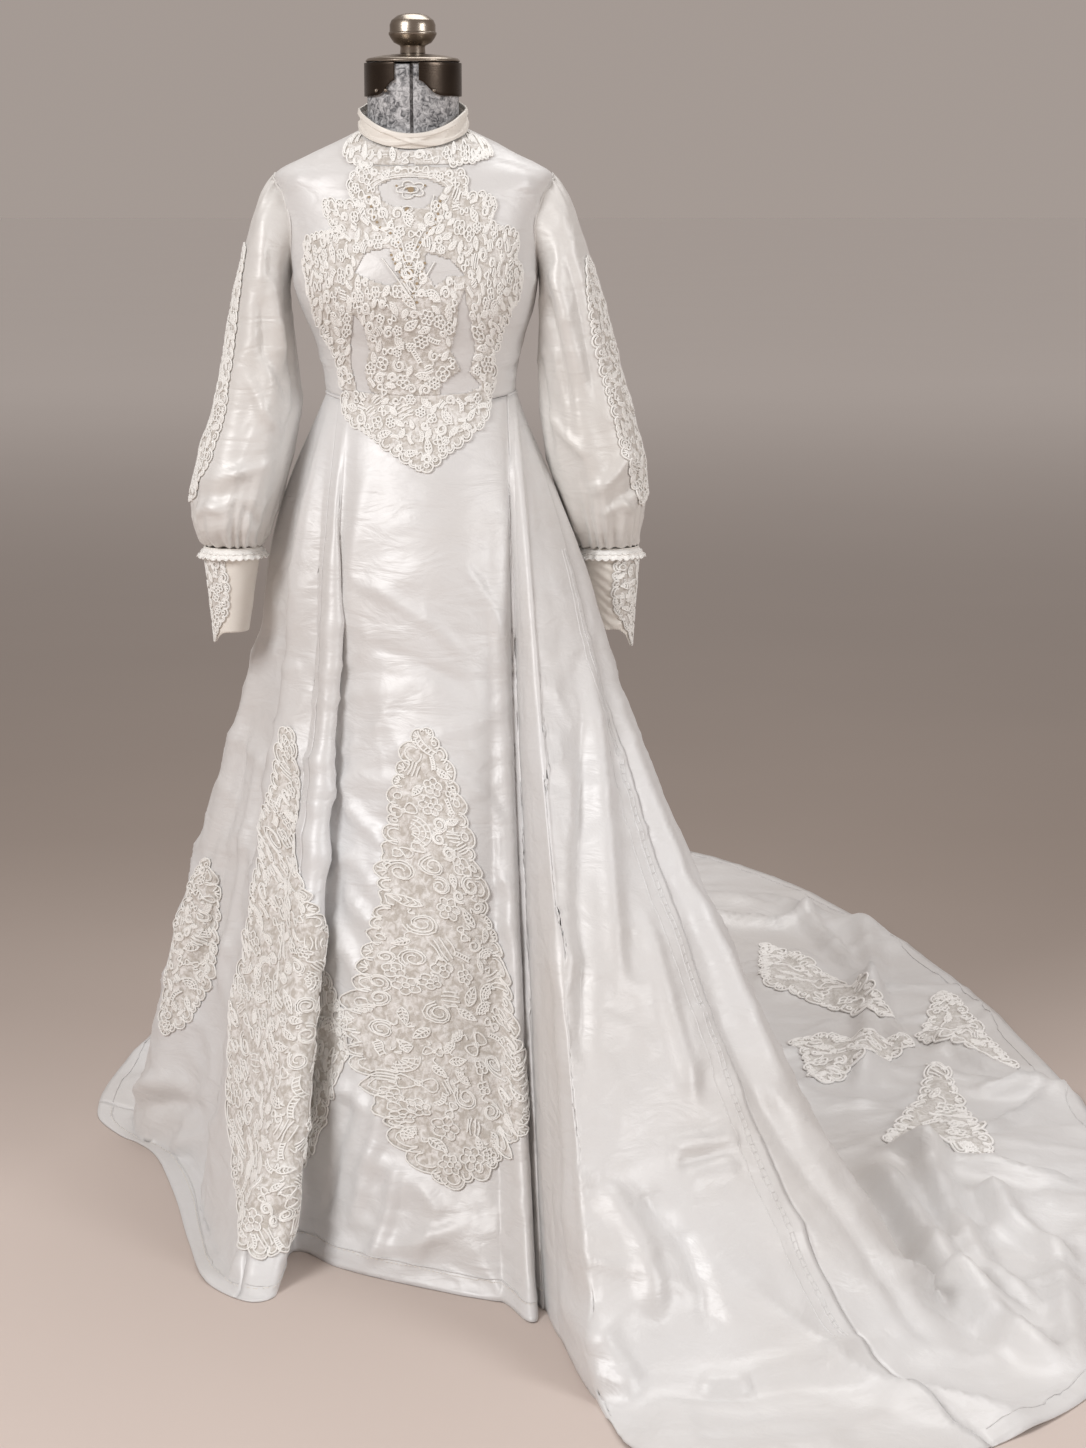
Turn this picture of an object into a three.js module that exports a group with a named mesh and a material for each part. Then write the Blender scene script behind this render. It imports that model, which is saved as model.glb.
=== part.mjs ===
import * as THREE from 'three';

// Wedding dress standing on a dress form.
// Millimetres, +Z up, the front looks along -Y, +X is the viewer's right.
// Origin: on the floor under the axis of the form.

const CLOTH = 2;
const LACE = 1.2;
const SEAM = 0.5;
const WAIST_GAP = 1.5;
// How far each lace lies off the flat facets of its panel: more where the panel curves.
const LAY = {
  bodice: 2.5,
  yoke: 1.8,
  placket: 1.2,
  waist: 2.2,
  centre: 1.3,
  left: 1.5,
  side: 0.9,
  train: 0.4,
  band: 0.6,
  sleeve_left: 1.2,
  sleeve_right: 2.2,
  cuff: 1.9,
};

// Rings round the body, waist to neck. Height at the side, the front and the back,
// half width, depth to the front and to the back, sideways shift, squareness.
const BODY_COLUMNS = ['side', 'front', 'back', 'half', 'fore', 'aft', 'shift', 'square'];
const BODY = [
  [1106, 1096, 1112, 128, 97, 98, 8, 2.1],
  [1140, 1130, 1146, 132, 101, 102, 7, 2.1],
  [1180, 1170, 1186, 142, 112, 108, 6, 2.15],
  [1212, 1204, 1216, 154, 126, 113, 4, 2.3],
  [1240, 1234, 1244, 162, 136, 116, 2, 2.4],
  [1266, 1264, 1270, 165, 136, 119, 1, 2.4],
  [1300, 1298, 1305, 167, 127, 120, 0, 2.35],
  [1336, 1334, 1344, 171, 112, 116, 0, 2.3],
  [1370, 1366, 1384, 178, 96, 108, 0, 2.25],
  [1396, 1392, 1418, 185, 82, 96, 0, 2.2],
  [1417, 1407, 1444, 147, 73, 84, 0, 2.15],
  [1435, 1418, 1463, 108, 65, 73, 0, 2.1],
  [1452, 1428, 1478, 68, 58, 62, 0, 2.05],
];

// Armhole on the side of the body: rows of the body table and degrees to each side of it.
const ARMHOLE = { low: 5, high: 9, reach: 20 };

// Stations round the skirt. Degrees round the waist (0 front, 90 viewer's left, 180 back),
// floor point of the hem, share of the way out where the cloth meets the floor, droop.
const HEM_COLUMNS = ['at', 'x', 'y', 'touch', 'droop'];
const HEM = [
  [-61, 163, -506, 1, 1.22],
  [-40, 122, -505, 1, 1.2],
  [-20, 85, -492, 1, 1.15],
  [0, 40, -470, 1, 1.12],
  [18, -30, -430, 1, 1.12],
  [34, -93, -388, 1, 1.15],
  [45, -160, -338, 1, 1.2],
  [54, -188, -505, 1, 1.6],
  [61, -255, -448, 0.95, 1.3],
  [69, -298, -301, 0.86, 1.05],
  [77, -338, -126, 0.86, 1.0],
  [84, -384, 35, 0.87, 0.95],
  [90, -418, 95, 0.9, 0.92],
  [96, -450, 130, 0.9, 0.92],
  [102, -492, 205, 0.86, 0.92],
  [108, -503, 280, 0.84, 0.95],
  [118, -495, 450, 0.75, 1.0],
  [130, -440, 750, 0.55, 1.05],
  [143, -310, 1170, 0.4, 1.1],
  [156, -90, 1620, 0.31, 1.15],
  [168, 150, 1920, 0.27, 1.2],
  [177, 340, 1980, 0.26, 1.2],
  [185, 463, 1930, 0.26, 1.2],
  [195, 645, 1678, 0.28, 1.2],
  [205, 772, 1368, 0.31, 1.2],
  [214, 866, 1076, 0.35, 1.2],
  [223, 937, 719, 0.4, 1.2],
  [233, 996, 250, 0.44, 1.25],
  [241, 1010, -100, 0.47, 1.3],
  [248, 950, -500, 0.55, 1.35],
  [256, 805, -800, 0.84, 1.4],
  [261, 700, -910, 0.84, 1.4],
  [266, 560, -1010, 0.8, 1.3],
  [271, 390, -1030, 0.8, 1.2],
  [276, 275, -940, 0.88, 1.15],
  [281, 235, -773, 1, 1.08],
  [287, 188, -555, 1, 1.02],
  [294, 150, -372, 1, 1.0],
];

// Folds of the skirt: degrees at waist and hem, half width in degrees, rise, and the
// share of the length over which each one grows.
const FOLD_COLUMNS = ['top', 'hem', 'half', 'rise', 'grow'];
const FOLDS = [
  [50, 54, 4, 14, 0.26],
  [61, 62, 4.5, -18, 0.26],
  [70, 71, 4, 12, 0.22],
  [78, 79, 3.6, -15, 0.42],
  [94, 96, 6, 8, 0.22],
  [128, 126, 7, 12, 0.3],
  [150, 150, 8, -14, 0.3],
  [172, 170, 8, 14, 0.3],
  [198, 196, 7, -12, 0.3],
  [-66, -66, 3, -14, 0.24],
  [-76, -78, 3.6, 7, 0.24],
];

// Skirt and train panels: the stations of their columns in degrees, dense at the folds.
const PANELS = {
  skirt_front: [-65.5, -63.5, -61, -58, -53.5, -47, -39, -31, -23, -15, -7, 1, 9, 17, 25, 32, 38, 43, 47, 50, 53, 57],
  skirt_side_left: [57, 59.5, 62, 64.5, 67, 70, 73, 76, 79, 82, 86, 90, 94, 98, 103, 108],
  skirt_back: [108, 115, 122, 129, 137, 145, 153, 161, 169, 178, 186],
  train_main: [186, 193, 200, 207, 214, 221, 228, 234, 240, 246, 252, 257, 262],
  train_front_panel: [262, 267, 271, 275, 279, 283, 287, 290.5, 294.5],
};
// Shares of the length at which the panels have a row, dense where cloth reaches the floor.
const LENGTHS = [0, 0.05, 0.11, 0.18, 0.26, 0.34, 0.42, 0.5, 0.58, 0.65, 0.72, 0.79, 0.86, 0.93, 1];

// Rings along a sleeve: outer and inner side (distance from the axis, height), half
// depth and how far its middle stands behind the form's axis.
const SLEEVE_COLUMNS = ['outX', 'outZ', 'inX', 'inZ', 'depth', 'mid'];
const SLEEVES = {
  left: [
    [187, 1397, 165, 1262, 43, 0],
    [201, 1382, 168, 1243, 51, 0],
    [214, 1352, 167, 1224, 60, 1],
    [227, 1310, 165, 1200, 68, 2],
    [241, 1255, 163, 1172, 74, 4],
    [254, 1195, 160, 1135, 78, 7],
    [266, 1132, 157, 1095, 81, 7],
    [279, 1075, 161, 1055, 83, 6],
    [295, 1022, 170, 1012, 84, 2],
    [306, 972, 184, 965, 82, -2],
    [305, 935, 198, 928, 74, -4],
    [298, 911, 208, 908, 59, -4],
    [292, 898, 212, 896, 41.6, -4],
  ],
  right: [
    [187, 1397, 165, 1262, 43, 0],
    [201, 1382, 168, 1243, 51, 0],
    [215, 1352, 168, 1224, 60, 1],
    [230, 1310, 168, 1200, 68, 2],
    [246, 1255, 168, 1172, 74, 4],
    [262, 1195, 168, 1135, 78, 7],
    [279, 1132, 170, 1095, 81, 10],
    [295, 1075, 173, 1055, 84, 6],
    [309, 1022, 180, 1012, 85, 2],
    [315, 972, 195, 965, 82, -2],
    [311, 935, 206, 928, 72, -4],
    [306, 911, 215, 908, 60, -4],
    [304, 898, 220, 896, 45, -4],
  ],
};
const SLEEVE_ROWS = [0, 1.1, 2.2, 3.4, 4.8, 6.2, 7.6, 8.8, 9.8, 10.6, 11.3, 12];
const SLEEVE_AROUND = 20;
const GATHERS = 10;
const GATHER_DEPTH = 2.6;

// Cuffs: centre, half width and half depth at top and bottom, heights, point at the outside.
const CUFFS = {
  left: { side: -1, top: [252, -4, 39, 43, 895.7], bottom: [254, -8, 23, 29, 779], point: 16 },
  right: { side: 1, top: [263, -4, 41, 41.6, 895.9], bottom: [269, -8, 25, 29, 783], point: 26 },
};
const CUFF_AROUND = 16;
const FRILL = { high: 897.5, low: 884, flare: 5, waves: 8, wave: 1.6 };

// Lace outlines: row along the cloth, then left and right edge in its own coordinate.
const BODICE_LACE = [
  [0.08, 49, -46],
  [0.57, 50, -46],
  [1.13, 49, -46],
  [1.7, 50, -45],
  [2.27, 50, -46],
  [2.83, 49, -47],
  [3.4, 48, -48],
  [3.96, 46, -46],
  [4.53, 45, -45],
  [5.1, 45, -45],
  [5.66, 46, -46],
  [6.23, 41.6, -46],
  [6.8, 40, -42],
  [7.36, 38, -37],
  [7.93, 26, -25],
  [8.5, 23, -21],
  [9.1, 20, -18],
  [9.5, 13, -12],
];
const YOKE_LACE = [
  [9.62, 14, -12],
  [10.26, 39, -27],
  [10.64, 37, -51],
  [11.01, 47, -60],
  [11.39, 56, -62],
  [11.85, 60, -64],
];
const WAIST_LACE = [
  [0.004, 48, -45],
  [0.018, 41.6, -43],
  [0.032, 31, -31],
  [0.046, 18, -20],
  [0.06, 7, -9],
  [0.072, 2, -4],
];
const CENTRE_LACE = [
  [0.362, 1.8, -1.2],
  [0.398, 9, -11],
  [0.435, 14, -18],
  [0.471, 15, -22],
  [0.507, 16.5, -27],
  [0.543, 18, -33],
  [0.58, 21, -39],
  [0.616, 24, -46],
  [0.652, 26, -48],
  [0.689, 29, -52],
  [0.725, 27, -52.5],
  [0.761, 22.7, -51],
  [0.797, 16, -44],
  [0.834, 9, -37],
  [0.87, -6, -14],
];
const LEFT_LACE = [
  [0.4, 66.5, 65.5],
  [0.45, 68, 62.5],
  [0.5, 68.5, 58.2],
  [0.548, 69, 58.2],
  [0.592, 69, 58.2],
  [0.635, 69.5, 58.2],
  [0.679, 70, 58.2],
  [0.722, 70, 58.2],
  [0.766, 69, 58.2],
  [0.809, 68.5, 58.2],
  [0.85, 66, 58.2],
  [0.89, 62, 58.6],
];
const SIDE_LACE = [
  [0.606, 92.5, 91.5],
  [0.646, 94, 88],
  [0.686, 94, 87],
  [0.726, 94, 87],
  [0.766, 94, 88],
  [0.806, 94, 90],
  [0.83, 94, 93],
];
// Train lace: three corners each, as station and share of the length.
const TRAIN_LACE = {
  train_lace_1: [[201, 0.852], [208, 0.782], [220.5, 0.876]],
  train_lace_2: [[218, 0.765], [226.5, 0.768], [224, 0.882]],
  train_lace_3: [[219, 0.962], [228.6, 0.962], [223.6, 0.896]],
  train_lace_4: [[226.8, 0.892], [240, 0.878], [237.5, 0.8]],
};
const SLEEVE_LACE = {
  left: { rows: [[3.3, 0.49, 0.47], [4.4, 0.49, 0.42], [5.8, 0.49, 0.41], [7.2, 0.49, 0.42], [8.6, 0.49, 0.43], [9.4, 0.48, 0.45]] },
  right: { rows: [[3.4, 0.44, 0.42], [4.4, 0.47, 0.37], [5.6, 0.48, 0.35], [6.8, 0.48, 0.36], [8, 0.48, 0.37], [9, 0.46, 0.44]] },
};
// Eyelets of the bodice lace: row and column of the cell, symmetrical about the middle.
const EYELET_CELLS = [[15, 3], [14, 3], [13, 2], [12, 1], [11, 0], [10, 0], [9, 0], [14, 1], [16, 1]];
const BODICE_LACE_GRID = { rows: 18, columns: 12, hole: 0.42 };

// Facing band along the edge of the front drape: its first station, ends and width.
const BAND = { at: 262.7, from: 0.14, to: 0.84, rows: 18, width: 26 };

// Dress form: gap under the cloth, rings of hip and neck, metal parts.
const FORM = { gap: 3.6, shoulderGap: 3.2 };
const HIP = [
  [862, 118, 92, 96, 8],
  [872, 127, 99, 104, 8],
  [960, 129, 100, 106, 8],
  [1040, 124, 95, 100, 8],
];
const NECK = [
  [1456, 62, 53, 57],
  [1478, 61, 54, 57],
  [1505, 61, 55, 57],
  [1538, 62, 57, 58],
];
const SLIT = { half: 2.6, depth: 4 };
const CAP = { radiusX: 63, radiusY: 58, low: 1497, high: 1540.5, thick: 2 };
const STAND = { poleRadius: 16, baseRadius: 170, baseHigh: 13, poleTop: 861.4 };
const COLLAR = { halfLow: 71, halfHigh: 69, foreLow: 61, foreHigh: 62, aftLow: 65, aftHigh: 66, thick: 2.4 };

const MATERIALS = {
  satin: new THREE.MeshStandardMaterial({ name: 'ivory_satin', color: 0xf1eee6, roughness: 0.42 }),
  cream: new THREE.MeshStandardMaterial({ name: 'cream_satin', color: 0xeee4cf, roughness: 0.5 }),
  lace: new THREE.MeshStandardMaterial({ name: 'cream_lace', color: 0xf0e8d6, roughness: 0.8 }),
  felt: new THREE.MeshStandardMaterial({ name: 'grey_felt', color: 0x9b9c9e, roughness: 0.95 }),
  metal: new THREE.MeshStandardMaterial({ name: 'aged_nickel', color: 0x8d8579, roughness: 0.35, metalness: 1 }),
  iron: new THREE.MeshStandardMaterial({ name: 'painted_iron', color: 0x2c2b2a, roughness: 0.55, metalness: 0.2 }),
  button: new THREE.MeshStandardMaterial({ name: 'covered_button', color: 0xeee7d8, roughness: 0.5 }),
};

const rad = THREE.MathUtils.degToRad;
const clamp = THREE.MathUtils.clamp;
const smooth = (a, b, x) => THREE.MathUtils.smoothstep(x, a, b);
const mix = THREE.MathUtils.lerp;
const vec = (x, y, z) => new THREE.Vector3(x, y, z);

// Cubic through a column of a table; with a period the table runs round.
function curve(xs, ys, x, period) {
  if (period) {
    const start = xs[0];
    const last = xs.length - 1;
    x = ((x - start) % period + period) % period + start;
    ys = [ys[last], ...ys, ys[0], ys[1]];
    xs = [xs[last] - period, ...xs, start + period, xs[1] + period];
  }
  const n = xs.length;
  let i = 0;
  while (i < n - 2 && xs[i + 1] <= x) i += 1;
  const slope = (k) => (ys[k + 1] - ys[k]) / (xs[k + 1] - xs[k]);
  const tangent = (k) => {
    if (k === 0) return slope(0);
    if (k === n - 1) return slope(n - 2);
    const before = xs[k] - xs[k - 1];
    const after = xs[k + 1] - xs[k];
    return (slope(k - 1) * after + slope(k) * before) / (before + after);
  };
  const h = xs[i + 1] - xs[i];
  const t = (x - xs[i]) / h;
  const t2 = t * t;
  const t3 = t2 * t;
  return (2 * t3 - 3 * t2 + 1) * ys[i] + (t3 - 2 * t2 + t) * h * tangent(i)
    + (-2 * t3 + 3 * t2) * ys[i + 1] + (t3 - t2) * h * tangent(i + 1);
}

function column(table, columns, name) {
  const k = columns.indexOf(name);
  return table.map((row) => row[k]);
}

const rowNumbers = (table) => table.map((row, i) => i);

const bodyColumns = Object.fromEntries(BODY_COLUMNS.map((c) => [c, column(BODY, BODY_COLUMNS, c)]));
const hemColumns = Object.fromEntries(HEM_COLUMNS.map((c) => [c, column(HEM, HEM_COLUMNS, c)]));
const bodyRows = rowNumbers(BODY);

function bodyRing(row) {
  return Object.fromEntries(BODY_COLUMNS.map((c) => [c, curve(bodyRows, bodyColumns[c], row)]));
}

function ringPoint(ring, at) {
  const co = Math.cos(rad(at));
  const si = Math.sin(rad(at));
  const power = 2 / ring.square;
  const end = co > 0 ? ring.front : ring.back;
  const deep = co > 0 ? ring.fore : ring.aft;
  return vec(
    ring.shift - ring.half * Math.sign(si) * Math.abs(si) ** power,
    -deep * Math.sign(co) * Math.abs(co) ** power,
    ring.side + (end - ring.side) * Math.abs(co) ** 1.6,
  );
}

function bodyPoint(at, row) {
  return ringPoint(bodyRing(row), at);
}

function normalOf(point, a, b, da, db, sign, low, high) {
  const pa = point(a + da, b).sub(point(a - da, b));
  const pb = point(a, Math.min(b + db, high)).sub(point(a, Math.max(b - db, low)));
  return pa.cross(pb).normalize().multiplyScalar(sign);
}

const bodyNormal = (at, row) => normalOf(bodyPoint, at, row, 1.5, 0.12, -1, 0, BODY.length - 1);

function bodyOuter(at, row, lift = 0) {
  return bodyPoint(at, row).addScaledVector(bodyNormal(at, row), lift);
}

const waistCache = new Map();
function waistPoint(at) {
  if (!waistCache.has(at)) {
    const inside = bodyOuter(at, 0, -CLOTH);
    waistCache.set(at, inside.add(vec(0, 0, -WAIST_GAP)));
  }
  return waistCache.get(at).clone();
}

const hemAt = (at, name) => curve(hemColumns.at, hemColumns[name], at, 360);

function skirtBase(at, t) {
  const waist = waistPoint(at);
  const hemX = hemAt(at, 'x');
  const hemY = hemAt(at, 'y');
  const touch = clamp(hemAt(at, 'touch'), 0.2, 1);
  const droop = Math.sqrt(clamp(hemAt(at, 'droop'), 0.85, 2));
  const run = Math.hypot(hemX - waist.x, hemY - waist.y);
  const steep = Math.hypot(touch * run, waist.z) * 1.03;
  const share = steep / (steep + (1 - touch) * run);
  const fall = clamp(t / share, 0, 1);
  const hip = 0.045 * Math.sin(Math.PI * clamp(fall / 0.3, 0, 1)) * 400 / Math.max(run * touch, 300);
  let out = touch * (1 - (1 - fall) ** (1 / droop) + hip);
  let height = waist.z * (1 - fall) ** droop;
  if (t > share) {
    out = touch + (1 - touch) * (t - share) / Math.max(1 - share, 1e-6);
    height = 0;
  }
  return vec(waist.x + (hemX - waist.x) * out, waist.y + (hemY - waist.y) * out, height);
}

function foldRise(at, t) {
  let rise = 0;
  for (const row of FOLDS) {
    const fold = Object.fromEntries(FOLD_COLUMNS.map((c, i) => [c, row[i]]));
    const away = ((at - mix(fold.top, fold.hem, t) + 540) % 360 + 360) % 360 - 180;
    rise += fold.rise * Math.exp(-((away / fold.half) ** 2)) * smooth(0, fold.grow, t);
  }
  return rise;
}

// Inner face of the skirt: the base form with the folds along its normal, above the floor.
function skirtInner(at, t) {
  const rise = foldRise(at, t);
  const point = skirtBase(at, t);
  if (Math.abs(rise) > 1e-4) {
    const normal = normalOf(skirtBase, at, t, 0.6, 0.01, 1, 0, 1);
    normal.z *= smooth(0, 0.1, point.z / 1000);
    point.addScaledVector(normal, rise);
  }
  point.z = Math.max(point.z, 0);
  return point;
}

const skirtNormal = (at, t) => normalOf(skirtInner, at, t, 0.7, 0.012, 1, 0, 1);

function skirtOuter(at, t, lift = CLOTH) {
  const normal = skirtNormal(at, t);
  normal.z = Math.max(normal.z, 0);
  return skirtInner(at, t).addScaledVector(normal, lift);
}

// A closed shell between an outer and an inner grid of points. Cells with a hole share
// get a small window, wrap joins the last column to the first.
function shell(outer, inner, { wrap = false, hole = () => 0 } = {}) {
  const columns = outer.length;
  const rows = outer[0].length;
  const positions = [];
  const triangles = [];
  const add = (p) => positions.push(p.x, p.y, p.z) / 3 - 1;
  const face = (a, b, c, d) => triangles.push(a, b, c, a, c, d);
  const out = outer.map((line) => line.map(add));
  const into = inner.map((line) => line.map(add));
  const cellsAcross = wrap ? columns : columns - 1;
  const blend = (grid, i, j, u, v) => {
    const next = (i + 1) % columns;
    const a = grid[i][j].clone().lerp(grid[next][j], u);
    const b = grid[i][j + 1].clone().lerp(grid[next][j + 1], u);
    return a.lerp(b, v);
  };
  for (let i = 0; i < cellsAcross; i += 1) {
    const next = (i + 1) % columns;
    for (let j = 0; j < rows - 1; j += 1) {
      const share = hole(i, j);
      const outerRing = [out[i][j], out[next][j], out[next][j + 1], out[i][j + 1]];
      const innerRing = [into[i][j], into[next][j], into[next][j + 1], into[i][j + 1]];
      if (!share) {
        face(...outerRing);
        face(innerRing[0], innerRing[3], innerRing[2], innerRing[1]);
        continue;
      }
      const low = (1 - share) / 2;
      const high = 1 - low;
      const corners = [[low, low], [high, low], [high, high], [low, high]];
      const outWindow = corners.map(([u, v]) => add(blend(outer, i, j, u, v)));
      const inWindow = corners.map(([u, v]) => add(blend(inner, i, j, u, v)));
      for (let k = 0; k < 4; k += 1) {
        const m = (k + 1) % 4;
        face(outerRing[k], outerRing[m], outWindow[m], outWindow[k]);
        face(innerRing[m], innerRing[k], inWindow[k], inWindow[m]);
        face(outWindow[k], outWindow[m], inWindow[m], inWindow[k]);
      }
    }
  }
  for (let i = 0; i < cellsAcross; i += 1) {
    const next = (i + 1) % columns;
    face(out[next][0], out[i][0], into[i][0], into[next][0]);
    face(out[i][rows - 1], out[next][rows - 1], into[next][rows - 1], into[i][rows - 1]);
  }
  if (!wrap) {
    for (let j = 0; j < rows - 1; j += 1) {
      face(out[0][j], out[0][j + 1], into[0][j + 1], into[0][j]);
      face(out[columns - 1][j + 1], out[columns - 1][j], into[columns - 1][j], into[columns - 1][j + 1]);
    }
  }
  return closed(positions, triangles);
}

// A solid skinned over rings of equal count, with a flat fan at each end.
function skinned(rings) {
  const positions = [];
  const triangles = [];
  const add = (p) => positions.push(p.x, p.y, p.z) / 3 - 1;
  const rows = rings.map((ring) => ring.map(add));
  const count = rings[0].length;
  const middle = (ring) => add(ring.reduce((sum, p) => sum.add(p), vec(0, 0, 0)).divideScalar(count));
  const bottom = middle(rings[0]);
  const top = middle(rings[rings.length - 1]);
  for (let i = 0; i < count; i += 1) {
    const next = (i + 1) % count;
    for (let j = 0; j < rows.length - 1; j += 1) {
      triangles.push(rows[j][i], rows[j][next], rows[j + 1][next]);
      triangles.push(rows[j][i], rows[j + 1][next], rows[j + 1][i]);
    }
    triangles.push(rows[0][next], rows[0][i], bottom);
    triangles.push(rows[rows.length - 1][i], rows[rows.length - 1][next], top);
  }
  return closed(positions, triangles);
}

// Geometry with its faces turned outward.
function closed(positions, triangles) {
  const point = (k) => vec(positions[3 * k], positions[3 * k + 1], positions[3 * k + 2]);
  let volume = 0;
  for (let k = 0; k < triangles.length; k += 3) {
    volume += point(triangles[k]).dot(point(triangles[k + 1]).cross(point(triangles[k + 2])));
  }
  if (volume < 0) triangles.reverse();
  const geometry = new THREE.BufferGeometry();
  geometry.setAttribute('position', new THREE.Float32BufferAttribute(positions, 3));
  geometry.setIndex(triangles);
  geometry.computeVertexNormals();
  return geometry;
}

// Moves the first and last column a little inward, for a gap at the seam.
function insetSides(grid, by) {
  const last = grid.length - 1;
  const pull = (line, beside) => line.map((p, j) => p.clone().add(
    beside[j].clone().sub(p).setLength(by),
  ));
  return grid.map((line, i) => {
    if (i === 0) return pull(line, grid[1]);
    if (i === last) return pull(line, grid[last - 1]);
    return line;
  });
}

const spread = (from, to, count) => Array.from({ length: count + 1 }, (v, i) => mix(from, to, i / count));

function tableEdges(rows, t) {
  const at = rows.map((row) => row[0]);
  const linear = (k) => {
    let i = 0;
    while (i < at.length - 2 && at[i + 1] <= t) i += 1;
    return mix(rows[i][k], rows[i + 1][k], (t - at[i]) / (at[i + 1] - at[i]));
  };
  return [linear(1), linear(2)];
}

// Scalloped lace lying on a panel: its points are the panel's own, moved out.
function laceOn(surface, rows, { down, across, lay, scallop = 0.25, hole }) {
  const ts = spread(rows[0][0], rows[rows.length - 1][0], down);
  const points = (lift) => spread(0, 1, across).map((u) => ts.map((t, j) => {
    const [a, b] = tableEdges(rows, t);
    const room = (a - b) * 0.06 * scallop * (j % 2 ? 1 : -1);
    const at = mix(a + room, b - room, u);
    const edge = u === 0 || u === 1;
    return surface(at, t, lift === lay || edge ? lift : lift + 0.5 * ((j + Math.round(u * across)) % 2));
  }));
  return shell(points(lay + LACE), points(lay), { hole });
}

// A point on the flat facets between the columns and rows of a panel, lifted off them,
// so that what lies on the panel keeps an even distance.
function onFacets(surface, stations, lengths, a, b, lift, sign) {
  const cell = (list, x) => {
    let k = 0;
    while (k < list.length - 2 && list[k + 1] <= x) k += 1;
    return [list[k], list[k + 1], (x - list[k]) / (list[k + 1] - list[k])];
  };
  const [a0, a1, u] = cell(stations, a);
  const [b0, b1, v] = cell(lengths, b);
  const corner = surface(a0, b0);
  const opposite = surface(a1, b1);
  const along = u >= v;
  const third = along ? surface(a1, b0) : surface(a0, b1);
  const across = along ? third.clone().sub(corner) : opposite.clone().sub(third);
  const down = along ? opposite.clone().sub(third) : third.clone().sub(corner);
  const normal = across.clone().cross(down).normalize();
  return corner.addScaledVector(across, u).addScaledVector(down, v).addScaledVector(normal, sign * lift);
}

const meshes = [];
function piece(name, geometry, material) {
  const mesh = new THREE.Mesh(geometry, MATERIALS[material]);
  mesh.name = name;
  meshes.push(mesh);
  return mesh;
}

// Bodice. Its sides follow the armhole between the underarm and the shoulder.
function armholeReach(row) {
  const share = (row - ARMHOLE.low) / (ARMHOLE.high - ARMHOLE.low);
  return share > 0 && share < 1 ? ARMHOLE.reach * Math.sin(Math.PI * share) : 0;
}

const BODICE_ROWS = [0, 1, 2, 3, 4, 5, 5.8, 6.6, 7.4, 8.2, 9, 10, 11, 12];
const BODICE_COLUMNS = 18;

const sideReach = (row) => 90 - armholeReach(row);
const bodiceSides = spread(-1, 1, BODICE_COLUMNS);
const bodiceSurface = (centre) => (side, row) => bodyPoint(centre + side * sideReach(row), row);

function bodicePanel(centre) {
  const grid = (lift) => bodiceSides.map((side) => BODICE_ROWS.map((row) => (
    bodyOuter(centre + side * sideReach(row), row, lift)
  )));
  return shell(insetSides(grid(0), SEAM), insetSides(grid(-CLOTH), SEAM));
}
piece('bodice_front', bodicePanel(0), 'satin');
piece('bodice_back', bodicePanel(180), 'satin');

function bodiceFacet(at, row, lift) {
  return onFacets(bodiceSurface(0), bodiceSides, BODICE_ROWS, at / sideReach(row), row, lift, -1);
}

const eyelets = new Set(EYELET_CELLS.flatMap(([row, step]) => [
  `${row},${BODICE_LACE_GRID.columns / 2 + step}`,
  `${row},${BODICE_LACE_GRID.columns / 2 - 1 - step}`,
]));
piece('bodice_lace', laceOn(bodiceFacet, BODICE_LACE, {
  down: BODICE_LACE_GRID.rows,
  across: BODICE_LACE_GRID.columns,
  lay: LAY.bodice,
  hole: (i, j) => (eyelets.has(`${j},${i}`) ? BODICE_LACE_GRID.hole : 0),
}), 'lace');
piece('yoke_lace', laceOn(bodiceFacet, YOKE_LACE, { down: 6, across: 12, lay: LAY.yoke }), 'lace');

// Lapped closure down the centre back with three covered buttons.
const PLACKET = { half: 5.5, low: 0.3, high: 11.8, rows: 12, buttons: [9.2, 10.3, 11.4], radius: 6 };
function backFacet(at, row, lift) {
  return onFacets(bodiceSurface(180), bodiceSides, BODICE_ROWS, (at - 180) / sideReach(row), row, lift, -1);
}
const placketGrid = (lift) => spread(180 - PLACKET.half, 180 + PLACKET.half, 2).map((at) => (
  spread(PLACKET.low, PLACKET.high, PLACKET.rows).map((row) => backFacet(at, row, lift))
));
piece('back_placket', shell(placketGrid(LAY.placket + 1.4), placketGrid(LAY.placket)), 'satin');
PLACKET.buttons.forEach((row, i) => {
  const geometry = new THREE.SphereGeometry(PLACKET.radius, 10, 5);
  geometry.scale(1, 1, 0.5);
  const normal = bodyNormal(180, row);
  geometry.applyQuaternion(new THREE.Quaternion().setFromUnitVectors(vec(0, 0, 1), normal));
  const at = backFacet(180, row, LAY.placket + 1.4 + 0.5 * PLACKET.radius);
  geometry.translate(at.x, at.y, at.z);
  piece(`back_button_${i + 1}`, geometry, 'button');
});

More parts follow.
